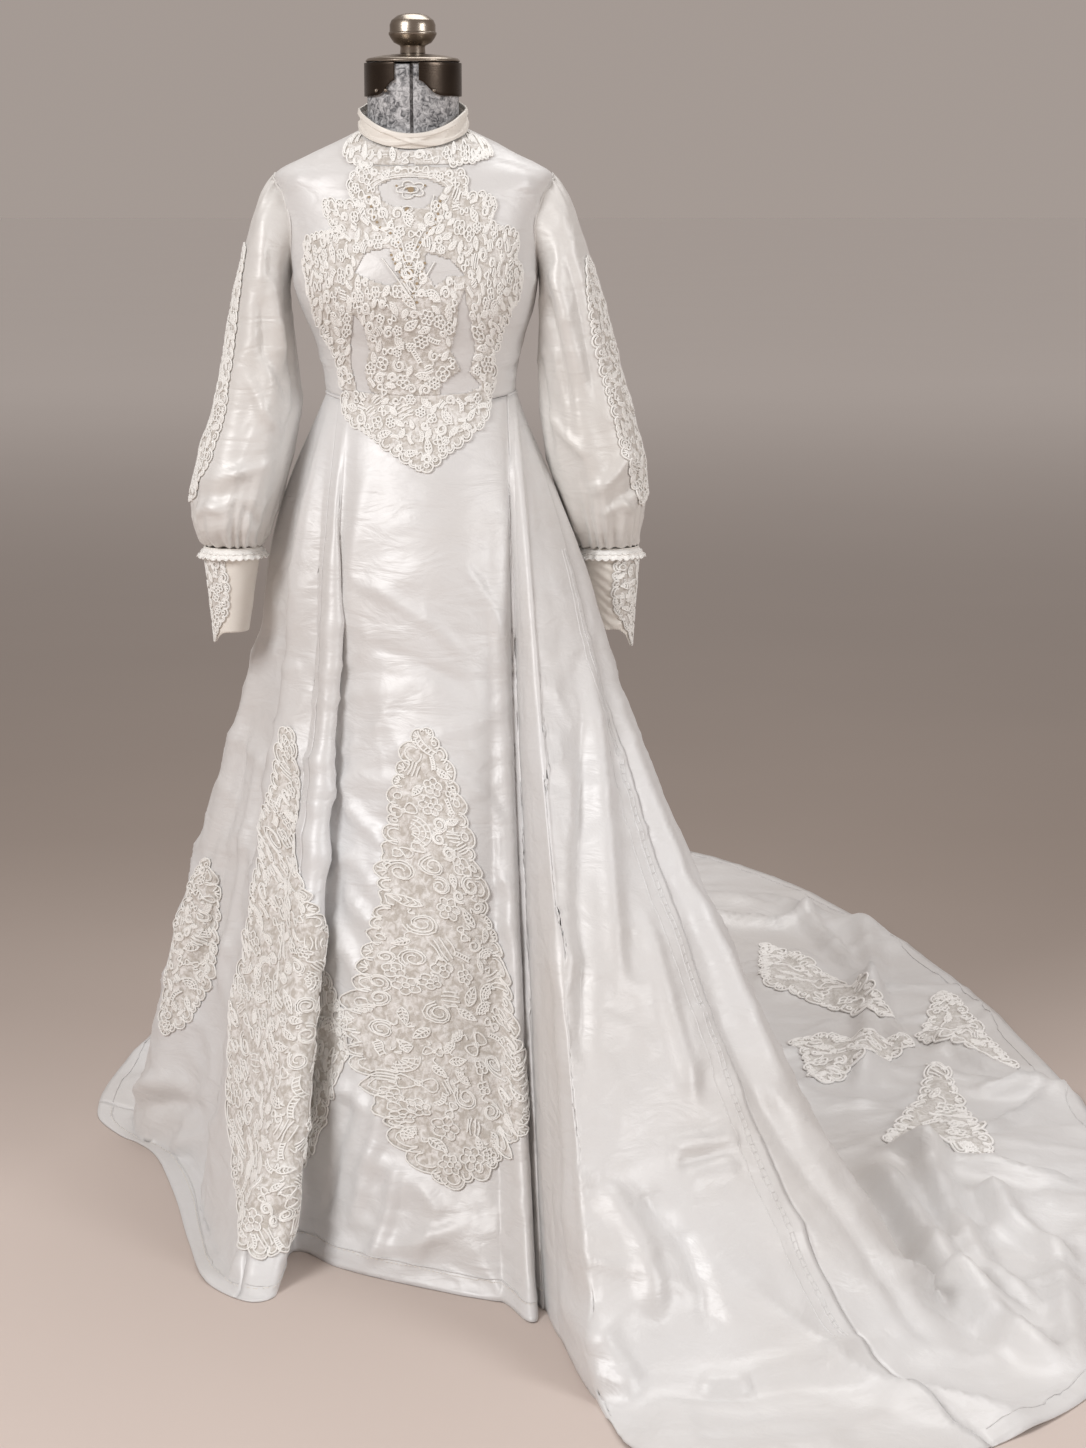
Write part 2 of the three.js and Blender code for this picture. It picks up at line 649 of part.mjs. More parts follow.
// Stand collar: a folded band that stands on the neckline, its rim higher at the back.
const COLLAR_ROWS = 4;
const COLLAR_AROUND = 36;
function collarPoint(at, share, lift) {
  const base = bodyRing(BODY.length - 1);
  const ring = {
    side: mix(base.side + 0.6, 1482, share),
    front: mix(base.front + 0.6, 1449, share),
    back: mix(base.back + 0.6, 1508, share),
    half: mix(COLLAR.halfLow, COLLAR.halfHigh, share) + lift,
    fore: mix(COLLAR.foreLow, COLLAR.foreHigh, share) + lift,
    aft: mix(COLLAR.aftLow, COLLAR.aftHigh, share) + lift,
    shift: 0,
    square: 2.05,
  };
  return ringPoint(ring, at);
}
function collarRelief(at, share) {
  const away = ((at + 540) % 360) - 180;
  const cross = (lean) => Math.exp(-((((away * lean) / 34 - (share - 0.5)) / 0.16) ** 2));
  const near = Math.exp(-((away / 30) ** 2));
  return 1.4 * near * Math.max(cross(1), cross(-1)) + 0.8 * Math.sin(Math.PI * share);
}
const collarGrid = (outside) => spread(0, 360, COLLAR_AROUND).slice(0, -1).map((at) => (
  spread(0, 1, COLLAR_ROWS).map((share) => (
    collarPoint(at, share, outside ? collarRelief(at, share) : -COLLAR.thick)
  ))
));
piece('collar_band', shell(collarGrid(true), collarGrid(false), { wrap: true }), 'cream');

// Sleeves: from the armhole to a full puff gathered into the cuff.
function armholePoint(turn, side, lift) {
  const angle = 2 * Math.PI * turn;
  const middle = (ARMHOLE.low + ARMHOLE.high) / 2;
  const row = middle - (ARMHOLE.high - ARMHOLE.low) / 2 * Math.cos(angle);
  const at = -side * (90 - armholeReach(row) * Math.sign(Math.sin(angle)));
  return bodyOuter(at, row, lift);
}

function sleevePoint(name, turn, row) {
  const table = SLEEVES[name];
  const side = name === 'left' ? -1 : 1;
  const ring = Object.fromEntries(SLEEVE_COLUMNS.map((c) => [
    c, curve(rowNumbers(table), column(table, SLEEVE_COLUMNS, c), row),
  ]));
  const angle = 2 * Math.PI * turn;
  const m = (1 - Math.cos(angle)) / 2;
  const gather = smooth(8.6, 11.2, row) * (1 - smooth(11.4, 12, row) * 0.6) * GATHER_DEPTH * Math.cos(GATHERS * angle);
  const x = mix(ring.inX, ring.outX, m) - gather * Math.cos(angle);
  const y = ring.mid - (ring.depth + gather) * Math.sin(angle);
  const point = vec(side * x, y, mix(ring.inZ, ring.outZ, m));
  const fit = 1 - smooth(0, 1.7, row);
  if (fit > 0) point.lerp(armholePoint(turn, side, 0).add(vec(side * 1.7, 0, 0)), fit);
  return point;
}

function sleeveOuter(name, turn, row, lift) {
  const sign = name === 'left' ? 1 : -1;
  const normal = normalOf((a, b) => sleevePoint(name, a, b), turn, row, 0.012, 0.12, sign, 0, 12);
  return sleevePoint(name, turn, row).addScaledVector(normal, lift);
}

const sleeveTurns = spread(0, 1, SLEEVE_AROUND);
function sleeveFacet(name, turn, row, lift) {
  const sign = name === 'left' ? 1 : -1;
  return onFacets((a, b) => sleevePoint(name, a, b), sleeveTurns, SLEEVE_ROWS, turn, row, lift, sign);
}

function cuffPoint(cuff, turn, share, lift) {
  const [x, y, half, deep, z] = cuff.top.map((v, i) => mix(v, cuff.bottom[i], share));
  const angle = 2 * Math.PI * turn;
  const drop = cuff.point * share ** 3 * Math.max(0, -Math.cos(angle)) ** 3;
  return vec(cuff.side * (x - (half + lift) * Math.cos(angle)), y - (deep + lift) * Math.sin(angle), z - drop);
}

for (const name of ['left', 'right']) {
  const turns = spread(0, 1, SLEEVE_AROUND).slice(0, -1);
  const grid = (lift) => turns.map((turn) => SLEEVE_ROWS.map((row) => sleeveOuter(name, turn, row, lift)));
  piece(`sleeve_${name}`, shell(grid(0), grid(-1.6), { wrap: true }), 'satin');
  const onSleeve = (turn, row, lift) => sleeveFacet(name, turn, row, lift);
  piece(`sleeve_lace_${name}`, laceOn(onSleeve, SLEEVE_LACE[name].rows, { down: 10, across: 3, lay: LAY[`sleeve_${name}`] }), 'lace');

  const cuff = CUFFS[name];
  const around = spread(0, 1, CUFF_AROUND).slice(0, -1);
  const shares = spread(0, 1, 4);
  const cuffGrid = (lift) => around.map((turn) => shares.map((share) => cuffPoint(cuff, turn, share, lift)));
  piece(`cuff_${name}`, shell(cuffGrid(0), cuffGrid(-1.6), { wrap: true }), 'cream');
  const cuffSign = cuff.side > 0 ? -1 : 1;
  const cuffFacet = (turn, share, lift) => onFacets(
    (a, b) => cuffPoint(cuff, a, b, 0), spread(0, 1, CUFF_AROUND), shares, turn, share, lift, cuffSign,
  );
  const cuffRows = [[0.14, 0.52, 0.3], [0.5, 0.52, 0.28], [0.8, 0.52, 0.3], [0.94, 0.52, 0.36]];
  piece(`cuff_lace_${name}`, laceOn(cuffFacet, cuffRows, { down: 6, across: 4, lay: LAY.cuff }), 'lace');

  const frillAround = spread(0, 1, CUFF_AROUND * 2).slice(0, -1);
  const frillGrid = (lift) => frillAround.map((turn) => [0, 1].map((share) => {
    const angle = 2 * Math.PI * turn;
    const wave = FRILL.wave * Math.cos(FRILL.waves * angle) * share;
    const out = 0.4 + FRILL.flare * share + wave + lift;
    const [x, y, half, deep] = cuff.top;
    const z = mix(FRILL.high - 3.2, FRILL.low, share);
    return vec(cuff.side * (x - (half + out) * Math.cos(angle)), y - (deep + out) * Math.sin(angle), z);
  }));
  piece(`cuff_frill_${name}`, shell(frillGrid(1.2), frillGrid(0), { wrap: true }), 'lace');
}

// Skirt and train panels on one surface, with a narrow gap at each seam.
for (const [name, stations] of Object.entries(PANELS)) {
  const grid = (lift) => stations.map((at) => LENGTHS.map((t) => skirtOuter(at, t, lift)));
  piece(name, shell(insetSides(grid(CLOTH), SEAM), insetSides(grid(0), SEAM)), 'satin');
}

function skirtFacet(at, t, lift) {
  const stations = Object.values(PANELS).find((list) => at >= list[0] && at <= list[list.length - 1]);
  return onFacets(skirtOuter, stations, LENGTHS, at, t, lift, 1);
}

piece('waist_lace', laceOn(skirtFacet, WAIST_LACE, { down: 4, across: 12, lay: LAY.waist }), 'lace');
piece('skirt_lace_centre', laceOn(skirtFacet, CENTRE_LACE, { down: 20, across: 8, lay: LAY.centre }), 'lace');
piece('skirt_lace_left', laceOn(skirtFacet, LEFT_LACE, { down: 16, across: 4, lay: LAY.left }), 'lace');
piece('skirt_lace_side', laceOn(skirtFacet, SIDE_LACE, { down: 8, across: 3, lay: LAY.side }), 'lace');

for (const [name, corners] of Object.entries(TRAIN_LACE)) {
  const [a, b, c] = corners;
  const count = 6;
  const points = (lift) => spread(0, 1, 4).map((u) => spread(0, 0.94, count).map((v) => {
    const at = mix(mix(a[0], b[0], u), c[0], v);
    const t = mix(mix(a[1], b[1], u), c[1], v);
    return skirtFacet(at, t, lift);
  }));
  piece(name, shell(points(LAY.train + LACE), points(LAY.train)), 'lace');
}

const bandGrid = (lift) => [0, 1].map((side) => spread(BAND.from, BAND.to, BAND.rows).map((t) => {
  const wide = skirtInner(BAND.at, t).distanceTo(skirtInner(BAND.at + 3, t)) / 3;
  return skirtFacet(BAND.at + side * Math.min(BAND.width / wide, 7), t, lift);
}));
piece('train_edge_band', shell(bandGrid(LAY.band + 1.2), bandGrid(LAY.band)), 'satin');

// Dress form under the cloth: hips, bust and neck in one smooth solid.
const FORM_AROUND = 22;
const formAngles = spread(-180, 180, FORM_AROUND).slice(0, -1);
const slitAngles = [-4.5, -3, 3, 4.5];
const angles = [...formAngles.filter((a) => Math.abs(a) > 5), ...slitAngles].sort((a, b) => a - b);
const hipRing = ([z, half, fore, aft, shift]) => angles.map((at) => ringPoint({
  side: z, front: z, back: z, half, fore, aft, shift, square: 2.1,
}, at));
const bodyInside = (row) => angles.map((at) => {
  const gap = mix(FORM.gap, FORM.shoulderGap, smooth(7, 9, row));
  return bodyOuter(at, row, -CLOTH - gap);
});
const neckRing = ([z, half, fore, aft]) => angles.map((at) => {
  const point = ringPoint({ side: z, front: z, back: z, half, fore, aft, shift: 0, square: 2 }, at);
  if (Math.abs(at) < 3.5) point.y += SLIT.depth;
  if (Math.abs(at) < 3.5) point.x = Math.sign(-at) * SLIT.half;
  else if (Math.abs(at) < 5) point.x = Math.sign(-at) * (SLIT.half + 0.6);
  return point;
});
const slopeRing = angles.map((at) => ringPoint({
  side: 1449, front: 1428, back: 1474, half: 64.2, fore: 54.4, aft: 58.4, shift: 0, square: 2.05,
}, at));
piece('form_torso', skinned([
  ...HIP.map(hipRing),
  ...[0, 1, 2, 3, 4, 5, 6, 7, 8, 9, 10, 11].map(bodyInside),
  slopeRing,
  ...NECK.map(neckRing),
]), 'felt');

// Metal neck cap: two riveted plates round the neck, a shallow dome and a turned finial.
function capPlate(name, from, to, cut, rivetsAt) {
  const grid = (lift) => spread(from, to, 12).map((at, i) => [0, 1].map((up) => {
    const corner = Math.exp(-((i / 1.1) ** 2)) * cut;
    const z = up ? CAP.high : CAP.low + corner;
    return ringPoint({
      side: z, front: z, back: z, half: CAP.radiusX + lift, fore: CAP.radiusY + lift,
      aft: CAP.radiusY + 1 + lift, shift: 0, square: 2,
    }, at);
  }));
  piece(name, shell(grid(CAP.thick), grid(0)), 'metal');
  rivetsAt.forEach(([at, off], i) => {
    const geometry = new THREE.SphereGeometry(2.3, 8, 4);
    const ring = {
      side: 1504, front: 1504, back: 1504, half: CAP.radiusX + CAP.thick + off,
      fore: CAP.radiusY + CAP.thick + off, aft: CAP.radiusY, shift: 0, square: 2,
    };
    const p = ringPoint(ring, at);
    geometry.translate(p.x, p.y, p.z);
    piece(`${name}_rivet_${i + 1}`, geometry, 'metal');
  });
}
capPlate('cap_plate_left', 20, 176, 20, [[31, 0.7], [45, 2.4]]);
capPlate('cap_plate_right', -9, -172, 20, [[-27, 2.2]]);

function turned(name, profile, material, segments = 24) {
  const points = profile.map(([r, z]) => new THREE.Vector2(r, z));
  const geometry = new THREE.LatheGeometry(points, segments);
  geometry.rotateX(Math.PI / 2);
  piece(name, geometry, material);
}
turned('cap_dome', [[0, 1541], [61, 1541], [63.5, 1543], [60, 1546.5], [40, 1550.5], [17, 1552.6], [0, 1552.6]], 'metal');
turned('finial', [
  [0, 1553], [17, 1553], [16.4, 1560], [17, 1563], [25, 1567], [29.5, 1573], [31, 1576], [32, 1577.5],
  [32, 1580], [30.5, 1581], [30.5, 1590], [28, 1596], [20, 1602], [10, 1604.8], [0, 1605.4],
], 'metal');

// Stand: a pole from the hips down to a round foot.
turned('stand_pole', [[0, STAND.baseHigh + 0.4], [STAND.poleRadius, STAND.baseHigh + 0.4],
  [STAND.poleRadius, STAND.poleTop], [0, STAND.poleTop]], 'iron', 20);
turned('stand_base', [[0, 0], [STAND.baseRadius - 2, 0], [STAND.baseRadius, 2], [STAND.baseRadius, 8],
  [STAND.baseRadius - 8, STAND.baseHigh], [0, STAND.baseHigh]], 'iron', 32);

const model = new THREE.Group();
model.name = 'wedding_dress_on_form';
meshes.forEach((mesh) => model.add(mesh));

export default model;
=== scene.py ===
import math
import random
from bisect import bisect_right

import bmesh
import bpy
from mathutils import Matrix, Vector, noise


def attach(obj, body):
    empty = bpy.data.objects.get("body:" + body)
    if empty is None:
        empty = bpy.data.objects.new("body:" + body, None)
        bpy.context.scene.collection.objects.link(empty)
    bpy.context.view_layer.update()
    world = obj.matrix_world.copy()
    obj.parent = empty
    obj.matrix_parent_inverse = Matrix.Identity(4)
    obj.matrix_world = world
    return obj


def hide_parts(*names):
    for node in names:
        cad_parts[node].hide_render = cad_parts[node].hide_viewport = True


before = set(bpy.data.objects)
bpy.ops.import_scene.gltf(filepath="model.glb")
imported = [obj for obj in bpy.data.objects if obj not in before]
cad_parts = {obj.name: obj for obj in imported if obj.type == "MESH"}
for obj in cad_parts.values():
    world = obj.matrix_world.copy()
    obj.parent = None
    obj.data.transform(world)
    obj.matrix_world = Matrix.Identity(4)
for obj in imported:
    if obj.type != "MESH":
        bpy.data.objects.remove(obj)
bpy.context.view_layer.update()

# Surfaces. Tables are in millimetres as in the solid model, results too; +Z up, the front looks along -Y.
bodyColumns = ["side", "front", "back", "half", "fore", "aft", "shift", "square"]
bodyRings = [  # waist to neck
    [1106, 1096, 1112, 128, 97, 98, 8, 2.1],
    [1140, 1130, 1146, 132, 101, 102, 7, 2.1],
    [1180, 1170, 1186, 142, 112, 108, 6, 2.15],
    [1212, 1204, 1216, 154, 126, 113, 4, 2.3],
    [1240, 1234, 1244, 162, 136, 116, 2, 2.4],
    [1266, 1264, 1270, 165, 136, 119, 1, 2.4],
    [1300, 1298, 1305, 167, 127, 120, 0, 2.35],
    [1336, 1334, 1344, 171, 112, 116, 0, 2.3],
    [1370, 1366, 1384, 178, 96, 108, 0, 2.25],
    [1396, 1392, 1418, 185, 82, 96, 0, 2.2],
    [1417, 1407, 1444, 147, 73, 84, 0, 2.15],
    [1435, 1418, 1463, 108, 65, 73, 0, 2.1],
    [1452, 1428, 1478, 68, 58, 62, 0, 2.05],
]
armhole = {"low": 5, "high": 9, "reach": 20}
hemStations = [  # degrees round the waist, hem point on the floor, share of the way out that hangs, droop
    [-61, 163, -506, 1, 1.22], [-40, 122, -505, 1, 1.2], [-20, 85, -492, 1, 1.15], [0, 40, -470, 1, 1.12],
    [18, -30, -430, 1, 1.12], [34, -93, -388, 1, 1.15], [45, -160, -338, 1, 1.2], [54, -188, -505, 1, 1.6],
    [61, -255, -448, 0.95, 1.3], [69, -298, -301, 0.86, 1.05], [77, -338, -126, 0.86, 1.0],
    [84, -384, 35, 0.87, 0.95], [90, -418, 95, 0.9, 0.92], [96, -450, 130, 0.9, 0.92],
    [102, -492, 205, 0.86, 0.92], [108, -503, 280, 0.84, 0.95], [118, -495, 450, 0.75, 1.0],
    [130, -440, 750, 0.55, 1.05], [143, -310, 1170, 0.4, 1.1], [156, -90, 1620, 0.31, 1.15],
    [168, 150, 1920, 0.27, 1.2], [177, 340, 1980, 0.26, 1.2], [185, 463, 1930, 0.26, 1.2],
    [195, 645, 1678, 0.28, 1.2], [205, 772, 1368, 0.31, 1.2], [214, 866, 1076, 0.35, 1.2],
    [223, 937, 719, 0.4, 1.2], [233, 996, 250, 0.44, 1.25], [241, 1010, -100, 0.47, 1.3],
    [248, 950, -500, 0.55, 1.35], [256, 805, -800, 0.84, 1.4], [261, 700, -910, 0.84, 1.4],
    [266, 560, -1010, 0.8, 1.3], [271, 390, -1030, 0.8, 1.2], [276, 275, -940, 0.88, 1.15],
    [281, 235, -773, 1, 1.08], [287, 188, -555, 1, 1.02], [294, 150, -372, 1, 1.0],
]
skirtFolds = [  # degrees at waist and hem, half width, rise, share of the length over which it grows
    [50, 54, 4, 14, 0.26], [61, 62, 4.5, -18, 0.26], [70, 71, 4, 12, 0.22], [78, 79, 3.6, -15, 0.42],
    [94, 96, 6, 8, 0.22], [128, 126, 7, 12, 0.3], [150, 150, 8, -14, 0.3], [172, 170, 8, 14, 0.3],
    [198, 196, 7, -12, 0.3], [-66, -66, 3, -5, 0.24], [-76, -78, 3.6, 4, 0.24],
]
sleeveColumns = ["outX", "outZ", "inX", "inZ", "depth", "mid"]
sleeveRings = {
    "left": [
        [187, 1397, 165, 1262, 43, 0], [201, 1382, 168, 1243, 51, 0], [214, 1352, 167, 1224, 60, 1],
        [227, 1310, 165, 1200, 68, 2], [241, 1255, 163, 1172, 74, 4], [254, 1195, 160, 1135, 78, 7],
        [266, 1132, 157, 1095, 81, 7], [279, 1075, 161, 1055, 83, 6], [295, 1022, 170, 1012, 84, 2],
        [306, 972, 184, 965, 82, -2], [305, 935, 198, 928, 74, -4], [298, 911, 208, 908, 59, -4],
        [292, 898, 212, 896, 41.6, -4],
    ],
    "right": [
        [187, 1397, 165, 1262, 43, 0], [201, 1382, 168, 1243, 51, 0], [215, 1352, 168, 1224, 60, 1],
        [230, 1310, 168, 1200, 68, 2], [246, 1255, 168, 1172, 74, 4], [262, 1195, 168, 1135, 78, 7],
        [279, 1132, 170, 1095, 81, 10], [295, 1075, 173, 1055, 84, 6], [309, 1022, 180, 1012, 85, 2],
        [315, 972, 195, 965, 82, -2], [311, 935, 206, 928, 72, -4], [306, 911, 215, 908, 60, -4],
        [304, 898, 220, 896, 45, -4],
    ],
}
cuffs = {
    "left": {"side": -1, "top": [252, -4, 39, 43, 895.7], "bottom": [254, -8, 23, 29, 779], "point": 16},
    "right": {"side": 1, "top": [263, -4, 41, 41.6, 895.9], "bottom": [269, -8, 25, 29, 783], "point": 26},
}


def clamp(x, low, high):
    return max(low, min(high, x))


def ease(low, high, x):
    t = clamp((x - low) / (high - low), 0, 1)
    return t * t * (3 - 2 * t)


def mix(a, b, t):
    return a + (b - a) * t


def add(p, q, scale=1.0):
    return (p[0] + q[0] * scale, p[1] + q[1] * scale, p[2] + q[2] * scale)


def minus(p, q):
    return (p[0] - q[0], p[1] - q[1], p[2] - q[2])


def cross(p, q):
    return (p[1] * q[2] - p[2] * q[1], p[2] * q[0] - p[0] * q[2], p[0] * q[1] - p[1] * q[0])


def unit(p):
    size = math.sqrt(p[0] * p[0] + p[1] * p[1] + p[2] * p[2]) or 1.0
    return (p[0] / size, p[1] / size, p[2] / size)


def blend(p, q, t):
    return (mix(p[0], q[0], t), mix(p[1], q[1], t), mix(p[2], q[2], t))


# A smooth curve through the values of a table; with a period it runs round.
def through(xs, ys, period=0):
    xs, ys, start = list(xs), list(ys), xs[0]
    if period:
        xs, ys = [xs[-1] - period, *xs, start + period, xs[1] + period], [ys[-1], *ys, ys[0], ys[1]]
    last = len(xs) - 1
    slopes = [(ys[k + 1] - ys[k]) / (xs[k + 1] - xs[k]) for k in range(last)]
    lean = [slopes[0]]
    for k in range(1, last):
        before, after = xs[k] - xs[k - 1], xs[k + 1] - xs[k]
        lean.append((slopes[k - 1] * after + slopes[k] * before) / (before + after))
    lean.append(slopes[-1])

    def value(x):
        if period:
            x = (x - start) % period + start
        i = int(clamp(bisect_right(xs, x) - 1, 0, last - 1))
        h = xs[i + 1] - xs[i]
        t = (x - xs[i]) / h
        t2, t3 = t * t, t * t * t
        return ((2 * t3 - 3 * t2 + 1) * ys[i] + (t3 - 2 * t2 + t) * h * lean[i]
                + (3 * t2 - 2 * t3) * ys[i + 1] + (t3 - t2) * h * lean[i + 1])
    return value


bodyCurves = [through(range(13), [ring[k] for ring in bodyRings]) for k in range(8)]
hemCurves = [through([s[0] for s in hemStations], [s[k] for s in hemStations], 360) for k in range(1, 5)]
ringCache, stationCache = {}, {}


def bodyRing(row):
    if row not in ringCache:
        ringCache[row] = {name: line(row) for name, line in zip(bodyColumns, bodyCurves)}
    return ringCache[row]


def ringPoint(ring, at):
    co, si = math.cos(math.radians(at)), math.sin(math.radians(at))
    power = 2 / ring["square"]
    end, deep = (ring["front"], ring["fore"]) if co > 0 else (ring["back"], ring["aft"])
    return (ring["shift"] - ring["half"] * math.copysign(abs(si) ** power, si),
            -deep * math.copysign(abs(co) ** power, co),
            ring["side"] + (end - ring["side"]) * abs(co) ** 1.6)


def bodyPoint(at, row):
    return ringPoint(bodyRing(round(row, 4)), at)


def bodyOuter(at, row, lift):
    across = minus(bodyPoint(at + 1.5, row), bodyPoint(at - 1.5, row))
    up = minus(bodyPoint(at, min(row + 0.12, 12)), bodyPoint(at, max(row - 0.12, 0)))
    return add(bodyPoint(at, row), unit(cross(across, up)), -lift)


def armholeReach(row):
    share = (row - armhole["low"]) / (armhole["high"] - armhole["low"])
    return armhole["reach"] * math.sin(math.pi * share) if 0 < share < 1 else 0.0


# What one station of the skirt needs: waist point, hem point, and how it falls between them.
def skirtStation(at):
    key = round(at, 3)
    if key not in stationCache:
        waist = add(bodyOuter(at, 0, -2), (0, 0, -1.5))
        x, y, touch, droop = (line(at) for line in hemCurves)
        touch, droop = clamp(touch, 0.2, 1), math.sqrt(clamp(droop, 0.85, 2))
        run = math.hypot(x - waist[0], y - waist[1])
        steep = math.hypot(touch * run, waist[2]) * 1.03
        stationCache[key] = (waist, x, y, touch, droop, run, steep / (steep + (1 - touch) * run))
    return stationCache[key]


def skirtBase(at, t):
    waist, x, y, touch, droop, run, share = skirtStation(at)
    fall = clamp(t / share, 0, 1)
    hip = 0.045 * math.sin(math.pi * clamp(fall / 0.3, 0, 1)) * 400 / max(run * touch, 300)
    if t > share:
        out, height = touch + (1 - touch) * (t - share) / max(1 - share, 1e-6), 0.0
    else:
        out, height = touch * (1 - (1 - fall) ** (1 / droop) + hip), waist[2] * (1 - fall) ** droop
    return (waist[0] + (x - waist[0]) * out, waist[1] + (y - waist[1]) * out, height)


def foldRise(at, t, folds):
    rise = 0.0
    for top, hem, half, high, grow in folds:
        away = (at - mix(top, hem, t) + 540) % 360 - 180
        if abs(away) < 3 * half:
            rise += high * math.exp(-((away / half) ** 2)) * ease(0, grow, t)
    return rise


def sleevePoint(name, turn, row):
    side = -1 if name == "left" else 1
    outX, outZ, inX, inZ, depth, mid = (line(row) for line in sleeveCurves[name])
    angle = 2 * math.pi * turn
    m = (1 - math.cos(angle)) / 2
    point = (side * mix(inX, outX, m), mid - depth * math.sin(angle), mix(inZ, outZ, m))
    fit = 1 - ease(0, 1.7, row)
    if fit > 0:
        place = 7 - 2 * math.cos(angle)
        at = -side * (90 - armholeReach(place) * (1 if math.sin(angle) > 0 else -1))
        point = blend(point, add(bodyPoint(at, place), (side * 0.5, 0, 0)), fit)
    return point


sleeveCurves = {name: [through(range(13), [ring[k] for ring in rings]) for k in range(6)]
                for name, rings in sleeveRings.items()}


def cuffPoint(name, turn, share):
    cuff = cuffs[name]
    x, y, half, deep, z = (mix(a, b, share) for a, b in zip(cuff["top"], cuff["bottom"]))
    angle = 2 * math.pi * turn
    drop = cuff["point"] * share ** 3 * max(0, -math.cos(angle)) ** 3
    return (cuff["side"] * (x - half * math.cos(angle)), y - deep * math.sin(angle), z - drop)


# A grid of points over two coordinates with its normals. Pieces of cloth are slices of one,
# and lace, stitches and bands lie on it.
class Cloth:
    def __init__(self, across, down, place, sign=1, wrap=False):
        self.across, self.down, self.sign, self.wrap = across, down, sign, wrap
        self.points = [[place(a, b) for b in down] for a in across]
        self.turnNormals()

    def turnNormals(self):
        grid, columns, rows = self.points, len(self.across), len(self.down)
        self.normals = []
        for i in range(columns):
            if self.wrap:
                before, after = grid[i - 1 if i else columns - 2], grid[i + 1 if i < columns - 1 else 1]
            else:
                before, after = grid[max(i - 1, 0)], grid[min(i + 1, columns - 1)]
            line = []
            for j in range(rows):
                up, low = max(j - 1, 0), min(j + 1, rows - 1)
                normal = unit(cross(minus(after[j], before[j]), minus(grid[i][low], grid[i][up])))
                line.append((normal[0] * self.sign, normal[1] * self.sign, normal[2] * self.sign))
            self.normals.append(line)

    # evens out the columns for which pick(a) is true, across and down
    def smooth(self, pick, times):
        columns = [i for i, a in enumerate(self.across) if 0 < i < len(self.across) - 1 and pick(a)]
        for _ in range(times):
            before = [list(line) for line in self.points]
            for i in columns:
                for j in range(1, len(self.down) - 1):
                    sideways = blend(before[i - 1][j], before[i + 1][j], 0.5)
                    along = blend(before[i][j - 1], before[i][j + 1], 0.5)
                    self.points[i][j] = blend(before[i][j], blend(sideways, along, 0.5), 0.6)
        self.turnNormals()

    # moves every point along its normal by what rise(a, b, point) gives
    def press(self, rise, floor=None, flatten=0.0):
        for i, a in enumerate(self.across):
            for j, b in enumerate(self.down):
                point, normal = self.points[i][j], self.normals[i][j]
                if flatten:
                    normal = (normal[0], normal[1], normal[2] * ease(0, flatten, point[2]))
                point = add(point, normal, rise(a, b, point))
                self.points[i][j] = point if floor is None else (point[0], point[1], max(point[2], floor))
        self.turnNormals()

    def cell(self, values, x):
        k = int(clamp(bisect_right(values, x) - 1, 0, len(values) - 2))
        return k, clamp((x - values[k]) / (values[k + 1] - values[k]), -0.5, 1.5)

    def on(self, a, b, lift=0.0):
        i, u = self.cell(self.across, a)
        j, v = self.cell(self.down, b)
        grid, normals = self.points, self.normals
        point = blend(blend(grid[i][j], grid[i + 1][j], u), blend(grid[i][j + 1], grid[i + 1][j + 1], u), v)
        normal = blend(blend(normals[i][j], normals[i + 1][j], u),
                       blend(normals[i][j + 1], normals[i + 1][j + 1], u), v)
        return add(point, unit(normal), lift)


def evenly(first, last, count):
    return [mix(first, last, k / count) for k in range(count + 1)]


# Stations of a panel, about one step apart along its hem.
def panelStations(first, last, step):
    fine = evenly(first, last, int((last - first) * 4))
    run = [0.0]
    for a, b in zip(fine, fine[1:]):
        speed = math.hypot(hemCurves[0](b) - hemCurves[0](a), hemCurves[1](b) - hemCurves[1](a)) / (b - a)
        run.append(run[-1] + clamp(speed, 6, 45) * (b - a))
    count = math.ceil(run[-1] / step)
    stations, k = [], 0
    for n in range(count + 1):
        want = run[-1] * n / count
        while k < len(run) - 2 and run[k + 1] < want:
            k += 1
        stations.append(round(mix(fine[k], fine[k + 1], (want - run[k]) / (run[k + 1] - run[k])), 4))
    stations[0], stations[-1] = first, last
    return stations


# The distance from a point to a line of points, and how far along the line it is, 0 to 1.
def alongLine(point, line):
    best, share, count = 1e9, 0.0, len(line) - 1
    for k in range(count):
        a, b = line[k], line[k + 1]
        edge, off = minus(b, a), minus(point, a)
        length = edge[0] ** 2 + edge[1] ** 2 + edge[2] ** 2 or 1e-9
        s = clamp((edge[0] * off[0] + edge[1] * off[1] + edge[2] * off[2]) / length, 0, 1)
        d = (off[0] - edge[0] * s) ** 2 + (off[1] - edge[1] * s) ** 2 + (off[2] - edge[2] * s) ** 2
        if d < best:
            best, share = d, (k + s) / count
    return math.sqrt(best), share


# Finishes. A wire is a socket whose operators add Math nodes.
class Wire:
    def __init__(self, finish, socket):
        self.finish, self.socket = finish, socket

    def math(self, operation, first, second):
        return self.finish.add("ShaderNodeMath", {"operation": operation}, {0: first, 1: second})

    def __add__(self, other):
        return self.math("ADD", self, other)

    def __sub__(self, other):
        return self.math("SUBTRACT", self, other)

    def __rsub__(self, other):
        return self.math("SUBTRACT", other, self)

    def __mul__(self, other):
        return self.math("MULTIPLY", self, other)

    def __pow__(self, other):
        return self.math("POWER", self, other)

    __radd__ = __add__
    __rmul__ = __mul__


